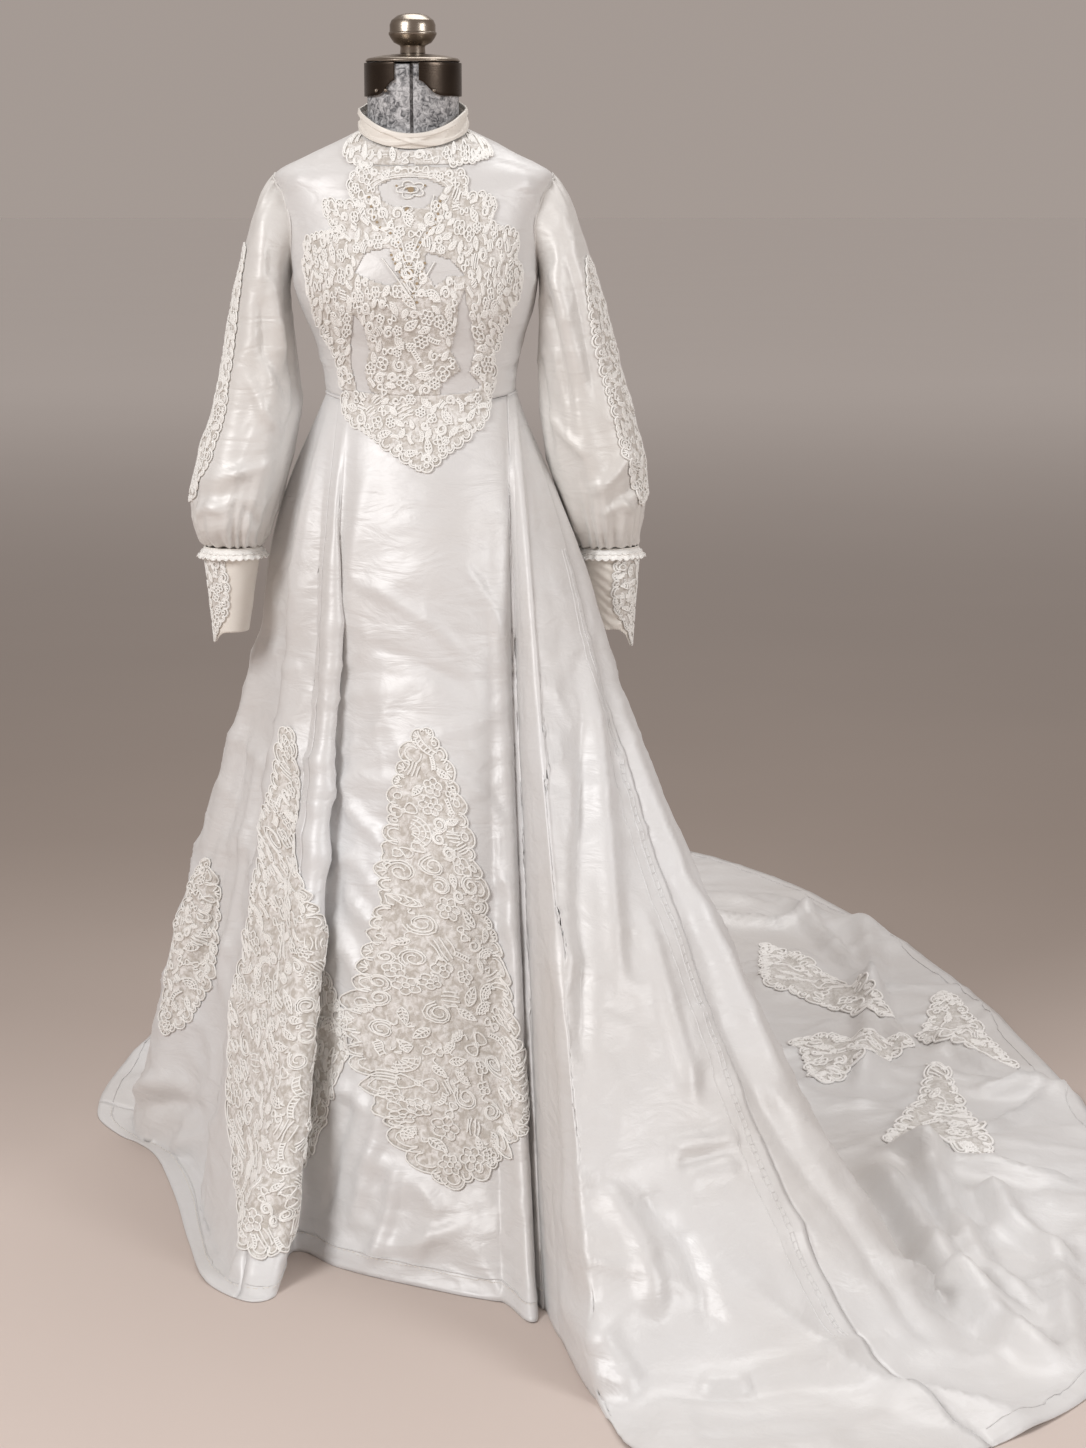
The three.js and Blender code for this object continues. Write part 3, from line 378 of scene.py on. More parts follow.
class Finish:
    def __init__(self, name):
        self.material = bpy.data.materials.new(name)
        self.material.use_nodes = True
        self.tree = self.material.node_tree
        self.tree.nodes.clear()
        shader = self.add("ShaderNodeBsdfPrincipled")
        self.shader = shader.socket.node
        self.add("ShaderNodeOutputMaterial", {}, {"Surface": shader}, None)
        self.place = self.add("ShaderNodeTexCoord", output="Object")

    def add(self, kind, settings=None, sockets=None, output=0):
        node = self.tree.nodes.new(kind)
        for key, value in (settings or {}).items():
            if key == "stops":
                for k, (at, colour) in enumerate(value):
                    stop = node.color_ramp.elements[k] if k < 2 else node.color_ramp.elements.new(at)
                    stop.position, stop.color = at, (*colour, 1)
            else:
                setattr(node, key, value)
        for key, value in (sockets or {}).items():
            if isinstance(value, Wire):
                self.tree.links.new(value.socket, node.inputs[key])
            else:
                node.inputs[key].default_value = value
        return None if output is None else Wire(self, node.outputs[output])

    def surface(self, **sockets):
        names = {"colour": "Base Color", "rough": "Roughness", "metal": "Metallic", "sheen": "Sheen Weight",
                 "sheenRough": "Sheen Roughness", "shine": "Specular IOR Level", "normal": "Normal",
                 "grain": "Anisotropic", "coat": "Coat Weight", "coatRough": "Coat Roughness"}
        for key, value in sockets.items():
            if isinstance(value, Wire):
                self.tree.links.new(value.socket, self.shader.inputs[names[key]])
            else:
                self.shader.inputs[names[key]].default_value = (*value, 1) if key == "colour" else value
        return self.material

    # noise on the piece's own coordinates, stretched by the given factors
    def noise(self, scale, detail=3, stretch=(1, 1, 1), turn=(0, 0, 0), distortion=0.0):
        place = self.add("ShaderNodeMapping", {}, {"Vector": self.place, "Scale": stretch, "Rotation": turn})
        return self.add("ShaderNodeTexNoise", {}, {
            "Vector": place, "Scale": scale, "Detail": detail, "Distortion": distortion})

    def colours(self, first, second, share):
        return self.add("ShaderNodeMix", {"data_type": "RGBA"}, {0: share, 6: (*first, 1), 7: (*second, 1)},
                        2)

    def bump(self, height, strength, distance):
        return self.add("ShaderNodeBump", {}, {"Height": height, "Strength": strength, "Distance": distance})


def satin(name, light, shade, rough, crinkle=0.5, turn=(0.0, 0.5, 0.0), metal=0.1):
    f = Finish(name)
    broad, fine = f.noise(2.6, 3), f.noise(34, 4, distortion=0.4)
    press = f.noise(13, 5, stretch=(1, 1, 2.6), turn=turn, distortion=0.8)
    thread = f.noise(420, 2, stretch=(1, 1, 6))
    height = press * 0.9 + fine * 0.2 + thread * 0.01
    tint = clampWire(f, broad * 1.6 - 0.35 + fine * 0.25)
    return f.surface(colour=f.colours(light, shade, tint), rough=rough + (fine - 0.5) * 0.12, sheen=0.15,
                     sheenRough=0.4, shine=0.4, metal=metal, normal=f.bump(height, crinkle, 0.007))


def clampWire(f, wire):
    return f.add("ShaderNodeClamp", {}, {"Value": wire})


def laceThread(name, light, shade, net):
    f = Finish(name)
    broad, fine = f.noise(9, 2), f.noise(260, 3)
    height, tint = fine * 0.5, clampWire(f, broad * 0.9 + fine * 0.5 - 0.2)
    if net:
        # the net is painted a darker, mottled tone than its cords: painted shade between and under the raised
        # cords, together with the openwork holes of the lace
        holesAndShade, place = f.noise(120, 3, distortion=0.8), {"Vector": f.place, "Scale": 330.0}
        cells = f.add("ShaderNodeTexVoronoi", {"feature": "DISTANCE_TO_EDGE"}, place)
        height = height + cells * 3 + holesAndShade * 1.4
        tint = clampWire(f, holesAndShade * 3.4 - 1.25 + broad * 0.3)
    return f.surface(colour=f.colours(light, shade, tint), rough=0.82, sheen=0.2, shine=0.25,
                     normal=f.bump(height, 0.5, 0.0006))


def felt():
    f = Finish("greyFelt")
    fleck, blotch, fibre = f.noise(150, 6, distortion=1.2), f.noise(28, 4), f.noise(520, 4)
    ramp = f.add("ShaderNodeValToRGB", {"stops": [(0.38, (0.085, 0.086, 0.092)), (0.62, (0.60, 0.60, 0.61))]},
                 {"Fac": clampWire(f, fleck * 0.7 + blotch * 0.3)})
    return f.surface(colour=ramp, rough=0.96, sheen=0.35, shine=0.15,
                     normal=f.bump(fibre * 0.6 + fleck, 0.6, 0.0012))


def oldNickel(name, light, dark):
    f = Finish(name)
    cloud, scratch = f.noise(26, 4), f.noise(90, 3, stretch=(1, 1, 14))
    colour = f.colours(light, dark, clampWire(f, cloud * 1.7 - 0.4))
    return f.surface(colour=colour, rough=0.3 + (cloud - 0.5) * 0.3 + (scratch - 0.5) * 0.12, metal=1.0,
                     normal=f.bump(scratch + cloud, 0.15, 0.0006))


def blackIron():
    f = Finish("blackIron")
    cloud, grit = f.noise(20, 3), f.noise(240, 3)
    return f.surface(colour=f.colours((0.022, 0.021, 0.02), (0.045, 0.043, 0.041), cloud),
                     rough=0.5 + (cloud - 0.5) * 0.3, metal=0.3, normal=f.bump(grit, 0.3, 0.0005))


def stageFinish():
    f = Finish("studioPaper")
    cloud = f.noise(0.9, 3)
    grain = f.noise(160, 3)
    y = f.add("ShaderNodeSeparateXYZ", {}, {"Vector": f.place}, 1)

    def between(value, low, high):
        return f.add("ShaderNodeMapRange", {"interpolation_type": "SMOOTHSTEP"},
                     {"Value": value, "From Min": low, "From Max": high})

    def layer(share, first, second):
        return f.add("ShaderNodeMix", {"data_type": "RGBA"}, {0: share, 6: first, 7: second}, 2)
    colour = f.colours(stage["floor"], stage["floor2"], cloud)
    # the floor darkens to the corner colours a little behind the dress: painted shade standing in for the
    # shaded corner of the backdrop
    colour = layer(between(y, *stage["floorFade"]), colour,
                   f.colours(stage["corner"], stage["corner2"], cloud))
    colour = layer(between(y, *stage["farFade"]), colour, f.colours(stage["far"], stage["far2"], cloud))
    return f.surface(colour=colour, rough=0.8, shine=0.2, normal=f.bump(grain, 0.12, 0.001))


# corner and corner2 are painted shade: the shaded corner of the backdrop, laid on the floor behind the dress
stage = {"floor": (0.65, 0.56, 0.51), "floor2": (0.59, 0.51, 0.465), "corner": (0.335, 0.283, 0.25),
         "corner2": (0.30, 0.253, 0.224), "far": (0.98, 0.98, 0.98), "far2": (0.96, 0.96, 0.96),
         "floorFade": (-1.0, 2.2), "farFade": (1.2, 15.0)}
satinFinish = satin("ivorySatin", (0.768, 0.778, 0.79), (0.67, 0.65, 0.63), 0.46)
sleeveFinish = satin("ivorySatinSleeve", (0.775, 0.775, 0.77), (0.67, 0.645, 0.61), 0.45, 0.5,
                     (0.0, 0.2, 0.0))
creamFinish = satin("creamSatin", (0.87, 0.84, 0.79), (0.79, 0.75, 0.69), 0.48, 0.4, metal=0.05)
laceFinish = laceThread("creamLace", (0.92, 0.915, 0.895), (0.85, 0.835, 0.80), False)
# the second, dark colour of both nets is painted shade between the raised cords, together with the net's
# openwork holes
netFinish = laceThread("creamNet", (0.835, 0.82, 0.80), (0.545, 0.51, 0.465), True)
trainLaceFinish = laceThread("paleLace", (0.95, 0.94, 0.925), (0.90, 0.885, 0.86), False)
trainNetFinish = laceThread("paleNet", (0.80, 0.785, 0.765), (0.60, 0.575, 0.54), True)
# dark beige discs painted as the shade inside the eyelet holes
eyeletShadeFinish = laceThread("eyeletHoleShade", (0.40, 0.31, 0.20), (0.30, 0.22, 0.14), False)
feltFinish, ironFinish = felt(), blackIron()
nickelFinish = oldNickel("agedNickel", (0.40, 0.35, 0.295), (0.20, 0.165, 0.135))
plateFinish = oldNickel("darkNickel", (0.085, 0.066, 0.052), (0.04, 0.03, 0.024))
print("finishes made")


# Pieces
def newPiece(name, mesh, finish, slot, *nodes):
    if isinstance(mesh, bmesh.types.BMesh):
        data = bpy.data.meshes.new(name)
        mesh.to_mesh(data)
        mesh.free()
    else:
        data = mesh
    for face in data.polygons:
        face.use_smooth = True
    data.materials.clear()
    data.materials.append(finish)
    piece = bpy.data.objects.new(name, data)
    bpy.context.scene.collection.objects.link(piece)
    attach(piece, "root")
    if nodes:
        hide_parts(*nodes)
    return piece


# A sheet of cloth whose points are those of a grid, by column and row.
def clothMesh(points, wrap=False):
    columns, rows = len(points), len(points[0])
    mesh = bmesh.new()
    bmesh.ops.create_grid(mesh, x_segments=columns - 1, y_segments=rows - 1, size=1)
    for v in mesh.verts:
        i, j = round((v.co.x + 1) / 2 * (columns - 1)), round((v.co.y + 1) / 2 * (rows - 1))
        v.co = Vector(points[i][j]) * 0.001
    if wrap:
        bmesh.ops.remove_doubles(mesh, verts=mesh.verts, dist=1e-6)
    return mesh


def faceOut(mesh, cloth, columns):
    mesh.faces.ensure_lookup_table()
    i, j = columns.start + (columns.stop - columns.start) // 2, len(cloth.down) // 2
    middle, out = Vector(cloth.points[i][j]) * 0.001, Vector(cloth.normals[i][j])
    near = min(mesh.faces, key=lambda f: (f.calc_center_median() - middle).length)
    if near.normal.dot(out) < 0:
        bmesh.ops.reverse_faces(mesh, faces=mesh.faces)


def thicken(piece, thickness, offset=-1):
    wall = piece.modifiers.new("wall", "SOLIDIFY")
    wall.thickness, wall.offset = thickness, offset
    return piece


def clothPiece(name, cloth, columns, finish, slot, nodes, thickness=0.0016):
    mesh = clothMesh(cloth.points[columns], cloth.wrap and columns == slice(0, len(cloth.across)))
    mesh.normal_update()
    faceOut(mesh, cloth, columns)
    return thicken(newPiece(name, mesh, finish, slot, *nodes), thickness)


# Tubes along lines of points: cords, stitches and the raised lines of the lace.
def cordMesh(lines, radius, sides=1, closed=()):
    data = bpy.data.curves.new("cords", "CURVE")
    data.dimensions, data.bevel_depth, data.bevel_resolution = "3D", radius, sides
    data.use_fill_caps = True
    for k, line in enumerate(lines):
        spline = data.splines.new("POLY")
        ring = k in closed
        spline.points.add(len(line) - 1)
        for p, q in zip(spline.points, line):
            p.co = (q[0] * 0.001, q[1] * 0.001, q[2] * 0.001, 1)
        spline.use_cyclic_u = ring
    holder = bpy.data.objects.new("cords", data)
    bpy.context.scene.collection.objects.link(holder)
    mesh = bpy.data.meshes.new_from_object(holder.evaluated_get(bpy.context.evaluated_depsgraph_get()))
    bpy.data.objects.remove(holder)
    bpy.data.curves.remove(data)
    return mesh


def ruffle(p, scale, seed=0.0, along=None, stretch=1.0):
    q = Vector(p) * 0.001
    if along:
        along = Vector(along).normalized()
        q -= along * along.dot(q) * (1 - 1 / stretch)
    return noise.noise(q * scale + Vector((seed, seed * 0.7, -seed)))


def crumple(p, scale, seed=0.0, along=None, stretch=1.0):
    return (1 - min(1, abs(ruffle(p, scale, seed, along, stretch)) * 3.2)) ** 2


# Skirt and train: panels, folds, and the creases pressed into the satin.
skirt = {
    "panels": {  # first and last station, step along the hem, flat size and area in metres
        "skirtFront": (-65.5, 57, 8, (0.62, 1.28), 0.523),
        "skirtSideLeft": (57, 108, 9, (0.8, 1.35), 0.503),
        "skirtBack": (108, 186, 15, (1.5, 1.95), 1.36),
        "trainMain": (186, 262, 14, (2.6, 2.2), 2.2),
        "trainFrontPanel": (262, 294.5, 10, (0.85, 1.55), 0.57),
    },
    "nodes": {"skirtFront": "skirt_front", "skirtSideLeft": "skirt_side_left", "skirtBack": "skirt_back",
              "trainMain": "train_main", "trainFrontPanel": "train_front_panel"},
    "rows": 150,
    "lift": 2.2,
    "crumples": [  # shares where it starts and is full, height, scale, seed, way, length of its grain
        (0.12, 0.5, 6.0, 7.5, 8, (0.75, 0.3, -0.6), 2.8), (0.03, 0.3, 3.2, 15, 5, (0.8, 0, 0.35), 2.4),
        (0.05, 0.4, 1.2, 31, 15, (0.6, 0, -0.5), 2.0),
    ],
    # height, width, points as station and share of the length; most were picked on the photo and
    # converted once by another script
    "creases": [
        [4.5, 14, [(26.8, 0.053), (37.2, 0.173), (52.7, 0.293), (57, 0.467)]],
        [6, 9, [(40.6, 0.573), (32.8, 0.627), (23.8, 0.687)]],
        [7.5, 10, [(52.7, 0.453), (34.2, 0.56), (19.4, 0.6)]],
        [6, 9, [(54.5, 0.373), (35.4, 0.46), (16.4, 0.5)]],
        [4.5, 7, [(52.7, 0.167), (22.3, 0.207), (-3.1, 0.24), (-27.0, 0.28)]],
        [-4.5, 8, [(32.8, 0.267), (1.4, 0.287), (-34.5, 0.32)]],
        [4.5, 7, [(-19.5, 0.167), (-42.0, 0.213), (-60.3, 0.28)]],
        [3.75, 7, [(-7.6, 0.393), (-40.5, 0.433), (-59.8, 0.48)]],
        [7.5, 12, [(17.9, 0.787), (23.8, 0.86), (31.3, 0.947)]],
        [-7.5, 11, [(31.3, 0.773), (35.4, 0.853), (38.8, 0.96)]],
        [7.5, 10, [(13.4, 0.853), (16.4, 0.913), (22.3, 0.987)]],
        [6, 12, [(-42.0, 0.867), (-6.1, 0.92), (13.4, 0.967)]],
        [-6, 10, [(-52.3, 0.827), (-19.5, 0.9), (4.4, 0.927)]],
        [6, 9, [(52.1, 0.687), (35.4, 0.78), (23.8, 0.8)]],
        [-6, 9, [(38.8, 0.727), (28.3, 0.74), (20.8, 0.773)]],
        [4.5, 10, [(-63.2, 0.027), (-61.2, 0.133), (-60.3, 0.26)]],
        [6, 10, [(-48.2, 0.527), (-57.8, 0.593), (-59.8, 0.687)]],
        [9, 10, [(83.6, 0.427), (82.3, 0.607), (82.3, 0.773)]],
        [-9, 10, [(90.4, 0.393), (87.6, 0.6), (87.6, 0.793)]],
        [7.5, 9, [(87.6, 0.52), (89.5, 0.693), (95.2, 0.847)]],
        [10.5, 14, [(101.7, 0.913), (95.2, 0.9), (84.6, 0.88)]],
        [-10.5, 12, [(100.4, 0.94), (89.5, 0.92), (81.2, 0.893)]],
        [12, 12, [(86.7, 0.98), (82.7, 0.94), (70.6, 0.84)]],
        [9, 12, [(56.3, 0.827), (58.2, 0.9), (58.8, 0.98)]],
        [-9, 10, [(53.4, 0.853), (54.5, 0.913), (54.5, 0.973)]],
        [7.5, 10, [(51.6, 0.86), (41.6, 0.98), (43.0, 1.0)]],
        [12, 14, [(262, 0.213), (267.9, 0.393), (269.9, 0.533)]],
        [-12, 14, [(266.3, 0.273), (272.5, 0.46), (275.2, 0.653)]],
        [9, 14, [(274.8, 0.473), (281.6, 0.733), (281.6, 0.913)]],
        [9, 12, [(265.7, 0.447), (266.0, 0.54), (266.0, 0.627)]],
        [10.5, 8, [(268.8, 0.653), (266.3, 0.647), (263.4, 0.653)]],
        [-7.5, 7, [(268.5, 0.667), (266.3, 0.66), (263.7, 0.667)]],
        [7.5, 7, [(267.9, 0.68), (266.3, 0.673), (264.0, 0.673)]],
        [13.5, 16, [(274.5, 0.713), (271.9, 0.74), (271.5, 0.807)]],
        [-12, 15, [(271.2, 0.687), (268.8, 0.733), (268.5, 0.807)]],
        [13.5, 16, [(284.7, 0.947), (276.8, 0.88), (273.8, 0.887)]],
        [10.5, 12, [(270.2, 0.853), (268.8, 0.853), (267.9, 0.853)]],
        [12, 16, [(258.9, 0.227), (259.8, 0.34), (259.3, 0.44), (257.9, 0.513), (257.9, 0.587),
                  (257.4, 0.653)]],
        [34, 22, [(239, 0.775), (245.8, 0.8), (250.8, 0.84), (254.2, 0.913), (255.3, 0.987)]],
        [-9, 16, [(261.2, 0.507), (261.2, 0.593), (259.8, 0.68), (258.4, 0.76), (257.9, 0.833),
                  (258.4, 0.9)]],
        [24, 16, [(238.3, 0.787), (240.5, 0.827), (241.1, 0.88), (241.8, 0.913), (241.8, 0.953)]],
        [24, 16, [(242.1, 0.867), (245.2, 0.887), (247.3, 0.94)]],
        [20, 16, [(246.4, 0.92), (251.1, 0.94), (254.9, 0.98)]],
        [22, 15, [(194, 0.93), (199.8, 0.94), (208.9, 0.913), (218.5, 0.88), (227.5, 0.873)]],
        [16, 12, [(230.6, 0.907), (230.9, 0.94), (230.9, 0.98)]],
        [16, 12, [(237.0, 0.88), (234.0, 0.927), (231.5, 0.98)]],
        [-14, 14, [(197.7, 0.893), (208.1, 0.893), (218.5, 0.907)]],
        [20, 14, [(257.9, 0.8), (251.4, 0.84), (252.4, 0.927)]],
        [26, 18, [(236, 0.83), (243, 0.83), (249, 0.86), (252, 0.93)]],
        [24, 20, [(205, 1.0), (212, 0.93), (222, 0.84), (230, 0.80)]],
        [-10, 14, [(200, 0.86), (212, 0.84), (224, 0.83)]],
        [22, 18, [(232, 0.99), (228, 0.94), (222, 0.9)]],
        [20, 16, [(186, 0.8), (194, 0.84), (200, 0.9), (204, 0.98)]],
        [18, 18, [(130, 0.9), (140, 0.8), (152, 0.72)]],
        [20, 18, [(160, 0.95), (166, 0.82), (176, 0.7)]],
        [-14, 20, [(146, 0.5), (148, 0.66), (150, 0.8)]],
        [18, 18, [(120, 0.96), (126, 0.84), (134, 0.74)]],
        [12, 16, [(200, 0.2), (203, 0.4), (206, 0.6)]],
        [-12, 16, [(215, 0.15), (218, 0.35), (221, 0.55)]],
        [12, 18, [(236, 0.2), (238, 0.4), (240, 0.6)]],
    ],
}


# Rise of a crease at a distance from its line; it fades over a share of the line at both ends.
def creaseRise(high, wide, away, share, fade):
    return high * math.exp(-((away / wide) ** 2)) * ease(0, fade, share) * ease(0, fade, 1 - share)


# The trough between the front panel and the drape, closed to a soft fold.
def softTrough(at, t):
    p, k = skirtBase(at, t), (at % 360 - 283) / 18
    if 0 < k < 1:
        across = blend(skirtBase(283, t), skirtBase(-59, t), k)
        p = blend(p, across, 0.7 * ease(0, 0.3, k) * ease(0, 0.3, 1 - k))
    return p


def skirtLattice():
    across, slices = [], {}
    for name, (first, last, step, *rest) in skirt["panels"].items():
        stations = panelStations(first, last, step)
        start = max(len(across) - 1, 0)
        across += stations if not across else stations[1:]
        slices[name] = slice(start, len(across))
    cloth = Cloth(across, evenly(0, 1, skirt["rows"]), softTrough, 1, True)
    cloth.press(lambda at, t, p: foldRise(at, t, skirtFolds), floor=0.0, flatten=100)
    lines = []
    for high, wide, points in skirt["creases"]:
        line = [cloth.on(at, t) for at, t in points]
        fine = [line[0]]
        for a, b in zip(line, line[1:]):
            fine += [blend(a, b, 0.5), b]
        reach = 2.6 * wide
        box = [(min(p[k] for p in fine) - reach, max(p[k] for p in fine) + reach) for k in range(3)]
        lines.append((high, wide, fine, box))

    def press(at, t, p):
        rise = 0.0
        x, y, z = p
        for high, wide, line, box in lines:
            if box[0][0] < x < box[0][1] and box[1][0] < y < box[1][1] and box[2][0] < z < box[2][1]:
                away, share = alongLine(p, line)
                if away < 2.6 * wide:
                    rise += creaseRise(high, wide, away, share, 0.18)
        floor = 1 - ease(20, 220, z)
        grow = ease(0.02, 0.3, t)
        ground = ease(1.0, 1.5, math.hypot(x, y) / 500) * floor
        # long soft waves that hang from the waist, crumpled satin, and slack cloth on the floor
        rise += grow * 6 * ruffle(p, 5.5, 3, (0.25, 0, -1), 4)
        for low, full, high, scale, seed, way, long in skirt["crumples"]:
            rise += ease(low, full, t) * high * (crumple(p, scale, seed, way, long) - 0.35)
        slack = 18 * max(0, ruffle(p, 2.6, 2, (0.5, 0.8, 0), 2.5))
        slack = slack + 20 * crumple(p, 3.2, 11, (0.8, -0.35, 0), 3.8)
        rise += ground * (slack + 9 * crumple(p, 6.5, 17, (0.6, 0.7, 0), 2.6))
        edge = min(abs((at + 65.5 + 180) % 360 - 180) / 15, 1)
        return rise * (1 - 0.75 * ease(0.985, 1, t)) * mix(0.3, 1, ease(0.4, 1, edge))

    cloth.smooth(lambda at: 279 < at % 360 < 289, 5)
    cloth.press(press, floor=0.0)
    cloth.smooth(lambda at: 278 < at % 360 < 290, 7)
    cloth.press(lambda at, t, p: skirt["lift"])
    return cloth, slices


skirtCloth, panelSlices = skirtLattice()
for name, columns in panelSlices.items():
    flat, area = skirt["panels"][name][3:]
    piece = clothPiece(name, skirtCloth, columns, satinFinish, "ivory_satin", [skirt["nodes"][name]])
print("skirt and train made")

# Bodice: front and back, with darts and the creases of a fitted waist.
bodice = {
    "rows": 66,
    "columns": 84,
    "lift": 0.2,
    "tucks": [  # panel centre, height, width, points as degrees and row
        [3.0, 5, [(-88, 1.55), (-68, 1.35), (-52, 1.2)]], [-2.5, 4.5, [(-88, 1.15), (-70, 1.0), (-56, 0.95)]],
        [2.6, 5, [(-88, 0.7), (-66, 0.75), (-50, 0.8)]], [2.2, 5, [(88, 1.5), (74, 1.2), (60, 1.0)]],
        [2.6, 8, [(-80, 4.6), (-66, 4.9), (-54, 5.1)]], [2.4, 8, [(80, 4.4), (68, 4.8), (56, 5.0)]],
        [3.2, 9, [(74, 7.2), (62, 8.2), (50, 9.3)]], [3.0, 9, [(-74, 7.0), (-62, 8.0), (-50, 9.2)]],
        [-2.4, 8, [(70, 8.3), (58, 9.4), (46, 10.4)]], [-2.4, 8, [(-70, 8.3), (-58, 9.4), (-46, 10.4)]],
        [2.4, 7, [(168, 0.5), (160, 2.4), (158, 4.5)]], [2.4, 7, [(192, 0.5), (200, 2.4), (202, 4.5)]],
        [-2.0, 7, [(150, 0.9), (166, 1.1), (178, 1.0)]], [-2.0, 7, [(210, 0.9), (194, 1.3), (182, 1.2)]],
    ],
}


def bodiceLattice(centre):
    def place(side, row):
        return bodyPoint(centre + side * (90 - armholeReach(row)), row)
    cloth = Cloth(evenly(-1, 1, bodice["columns"]), evenly(0, 12, bodice["rows"]), place, -1)
    lines = [(high, wide, [bodyPoint(at, row) for at, row in points]) for high, wide,
             points in bodice["tucks"]]

    def press(side, row, p):
        rise = bodice["lift"]
        for high, wide, line in lines:
            away, share = alongLine(p, line)
            if away < 3 * wide:
                rise += creaseRise(high, wide, away, share, 0.25)
        rise += 1.2 * ruffle(p, 13, 21, (0.3, 0, 1), 2) + 0.8 * (crumple(p, 20, 4, (0.9, 0, 0.3), 2.5) - 0.3)
        return rise * ease(0, 0.4, row + 0.25) * (1 - 0.7 * ease(11, 12, row))

    cloth.press(press)
    return cloth


bodyCloths = {"front": (0, bodiceLattice(0)), "back": (180, bodiceLattice(180))}


def onBodice(at, row, lift=0.0, half="front"):
    centre, cloth = bodyCloths[half]
    return cloth.on((at - centre) / (90 - armholeReach(row)), row, lift)


for half, node in (("front", "bodice_front"), ("back", "bodice_back")):
    cloth = bodyCloths[half][1]
    piece = clothPiece("bodice" + half.title(), cloth, slice(0, len(cloth.across)), satinFinish,
                       "ivory_satin", [node])

# Sleeves: a full puff gathered at the armhole and into the cuff.
sleeves = {
    "around": 150, "rows": 110, "gathers": 19, "depth": 4.6,
    "creases": {  # height, width, points as turn and row
        "left": [[10, 8, [(0.41, 8.7), (0.25, 8.3), (0.1, 7.9)]],
                 [-6, 9, [(0.42, 9.2), (0.28, 8.9), (0.12, 8.6)]],
                 [-8, 9, [(0.31, 3.3), (0.21, 4.9), (0.08, 6.3)]],
                 [7, 9, [(0.24, 2.2), (0.17, 3.6), (0.1, 5.2)]],
                 [-7, 8, [(0.06, 3.2), (0.05, 5.5), (0.09, 8.0)]],
                 [6, 8, [(0.3, 5.6), (0.2, 6.6), (0.1, 7.2)]],
                 [5, 7, [(0.4, 9.8), (0.33, 9.3), (0.25, 9.5)]],
                 [-5, 6, [(0.2, 9.2), (0.14, 9.7), (0.1, 10.3)]],
                 [6, 9, [(0.6, 3.0), (0.72, 4.8), (0.86, 6.0)]],
                 [-7, 9, [(0.62, 7.2), (0.75, 7.9), (0.9, 8.4)]]],
        "right": [[-8, 8, [(0.12, 1.6), (0.17, 4.2), (0.2, 7.2)]],
                  [7, 9, [(0.2, 1.4), (0.24, 3.8), (0.26, 6.6)]],
                  [8, 8, [(0.2, 8.9), (0.3, 8.4), (0.4, 7.7)]],
                  [-6, 8, [(0.24, 9.3), (0.34, 8.9), (0.44, 8.3)]],
                  [-6, 7, [(0.31, 2.4), (0.31, 4.6), (0.3, 6.8)]],
                  [6, 8, [(0.08, 6.2), (0.16, 7.2), (0.24, 8.0)]],
                  [-6, 7, [(0.05, 4.0), (0.08, 6.0), (0.1, 8.2)]],
                  [5, 6, [(0.38, 9.7), (0.32, 9.2), (0.22, 9.6)]],
                  [6, 9, [(0.62, 2.6), (0.74, 4.6), (0.88, 5.8)]],
                  [-7, 9, [(0.6, 7.0), (0.74, 7.8), (0.9, 8.2)]]],
    },
    "long": {"left": [[7, 0.17, 0.05], [-8, 0.235, 0.06], [6, 0.3, 0.05], [-6, 0.1, 0.04], [5, 0.38, 0.05]],
             "right": [[-8, 0.16, 0.06], [7, 0.22, 0.05], [6, 0.33, 0.05], [-7, 0.285, 0.05],
                       [5, 0.08, 0.05]]},
}


def sleeveLattice(name):
    cloth = Cloth(evenly(0, 1, sleeves["around"]), evenly(0, 12, sleeves["rows"]),
                  lambda turn, row: sleevePoint(name, turn, row), 1 if name == "left" else -1, True)

    lines = [(high, wide, [sleevePoint(name, turn, row) for turn, row in points])
             for high, wide, points in sleeves["creases"][name]]

    def press(turn, row, p):
        body = ease(0.5, 2.5, row) * (1 - ease(10.5, 12, row))
        wander = 0.02 * math.sin(row * 0.9 + (2 if name == "left" else 0))
        rise = 0.0
        for high, wide, line in lines:
            away, share = alongLine(p, line)
            if away < 3 * wide:
                rise += creaseRise(high, wide, away, share, 0.25)
        for high, at, half in sleeves["long"][name]:
            away = (turn - at - wander + 0.5) % 1 - 0.5
            rise += body * high * 0.6 * math.exp(-((away / half) ** 2))
        pull = ease(7.6, 11.4, row) * (1 - 0.45 * ease(11.5, 12, row))
        phase = 2 * math.pi * sleeves["gathers"] * (turn + 0.012 * math.sin(turn * 31))
        uneven = 0.65 + 0.5 * ruffle((turn * 900, 0, 0), 11, 5)
        rise += pull * sleeves["depth"] * math.cos(phase) * uneven
        top = (1 - ease(0.4, 2.4, row)) * ease(0, 0.25, row)
        rise += top * 1.6 * math.cos(phase * 0.8) * max(0, math.cos(2 * math.pi * (turn - 0.5)))
        rise += body * (4.5 * ruffle(p, 8, 31, (0.15, 0.1, 1), 3) + 2.6
                        * (crumple(p, 10, 14, (0.6, 0.2, 1), 2.2) - 0.3)
                        + 1.1 * (crumple(p, 24, 19, (1, 0.2, 0.5), 2.0) - 0.3))
        return rise
    cloth.press(press)
    return cloth


sleeveCloths = {}
for name in ("left", "right"):
    cloth = sleeveCloths[name] = sleeveLattice(name)
    piece = clothPiece("sleeve" + name.title(), cloth, slice(0, len(cloth.across)), sleeveFinish,
                       "ivory_satin",
                       ["sleeve_" + name])
for name, cloth in sleeveCloths.items():
    line = [cloth.on(turn, 0.16, 0.4) for turn in cloth.across[:-1]]
    newPiece("armholeSeam" + name.title(), cordMesh([line], 0.0016, 1, {0}), sleeveFinish, "ivory_satin")
print("bodice and sleeves made")

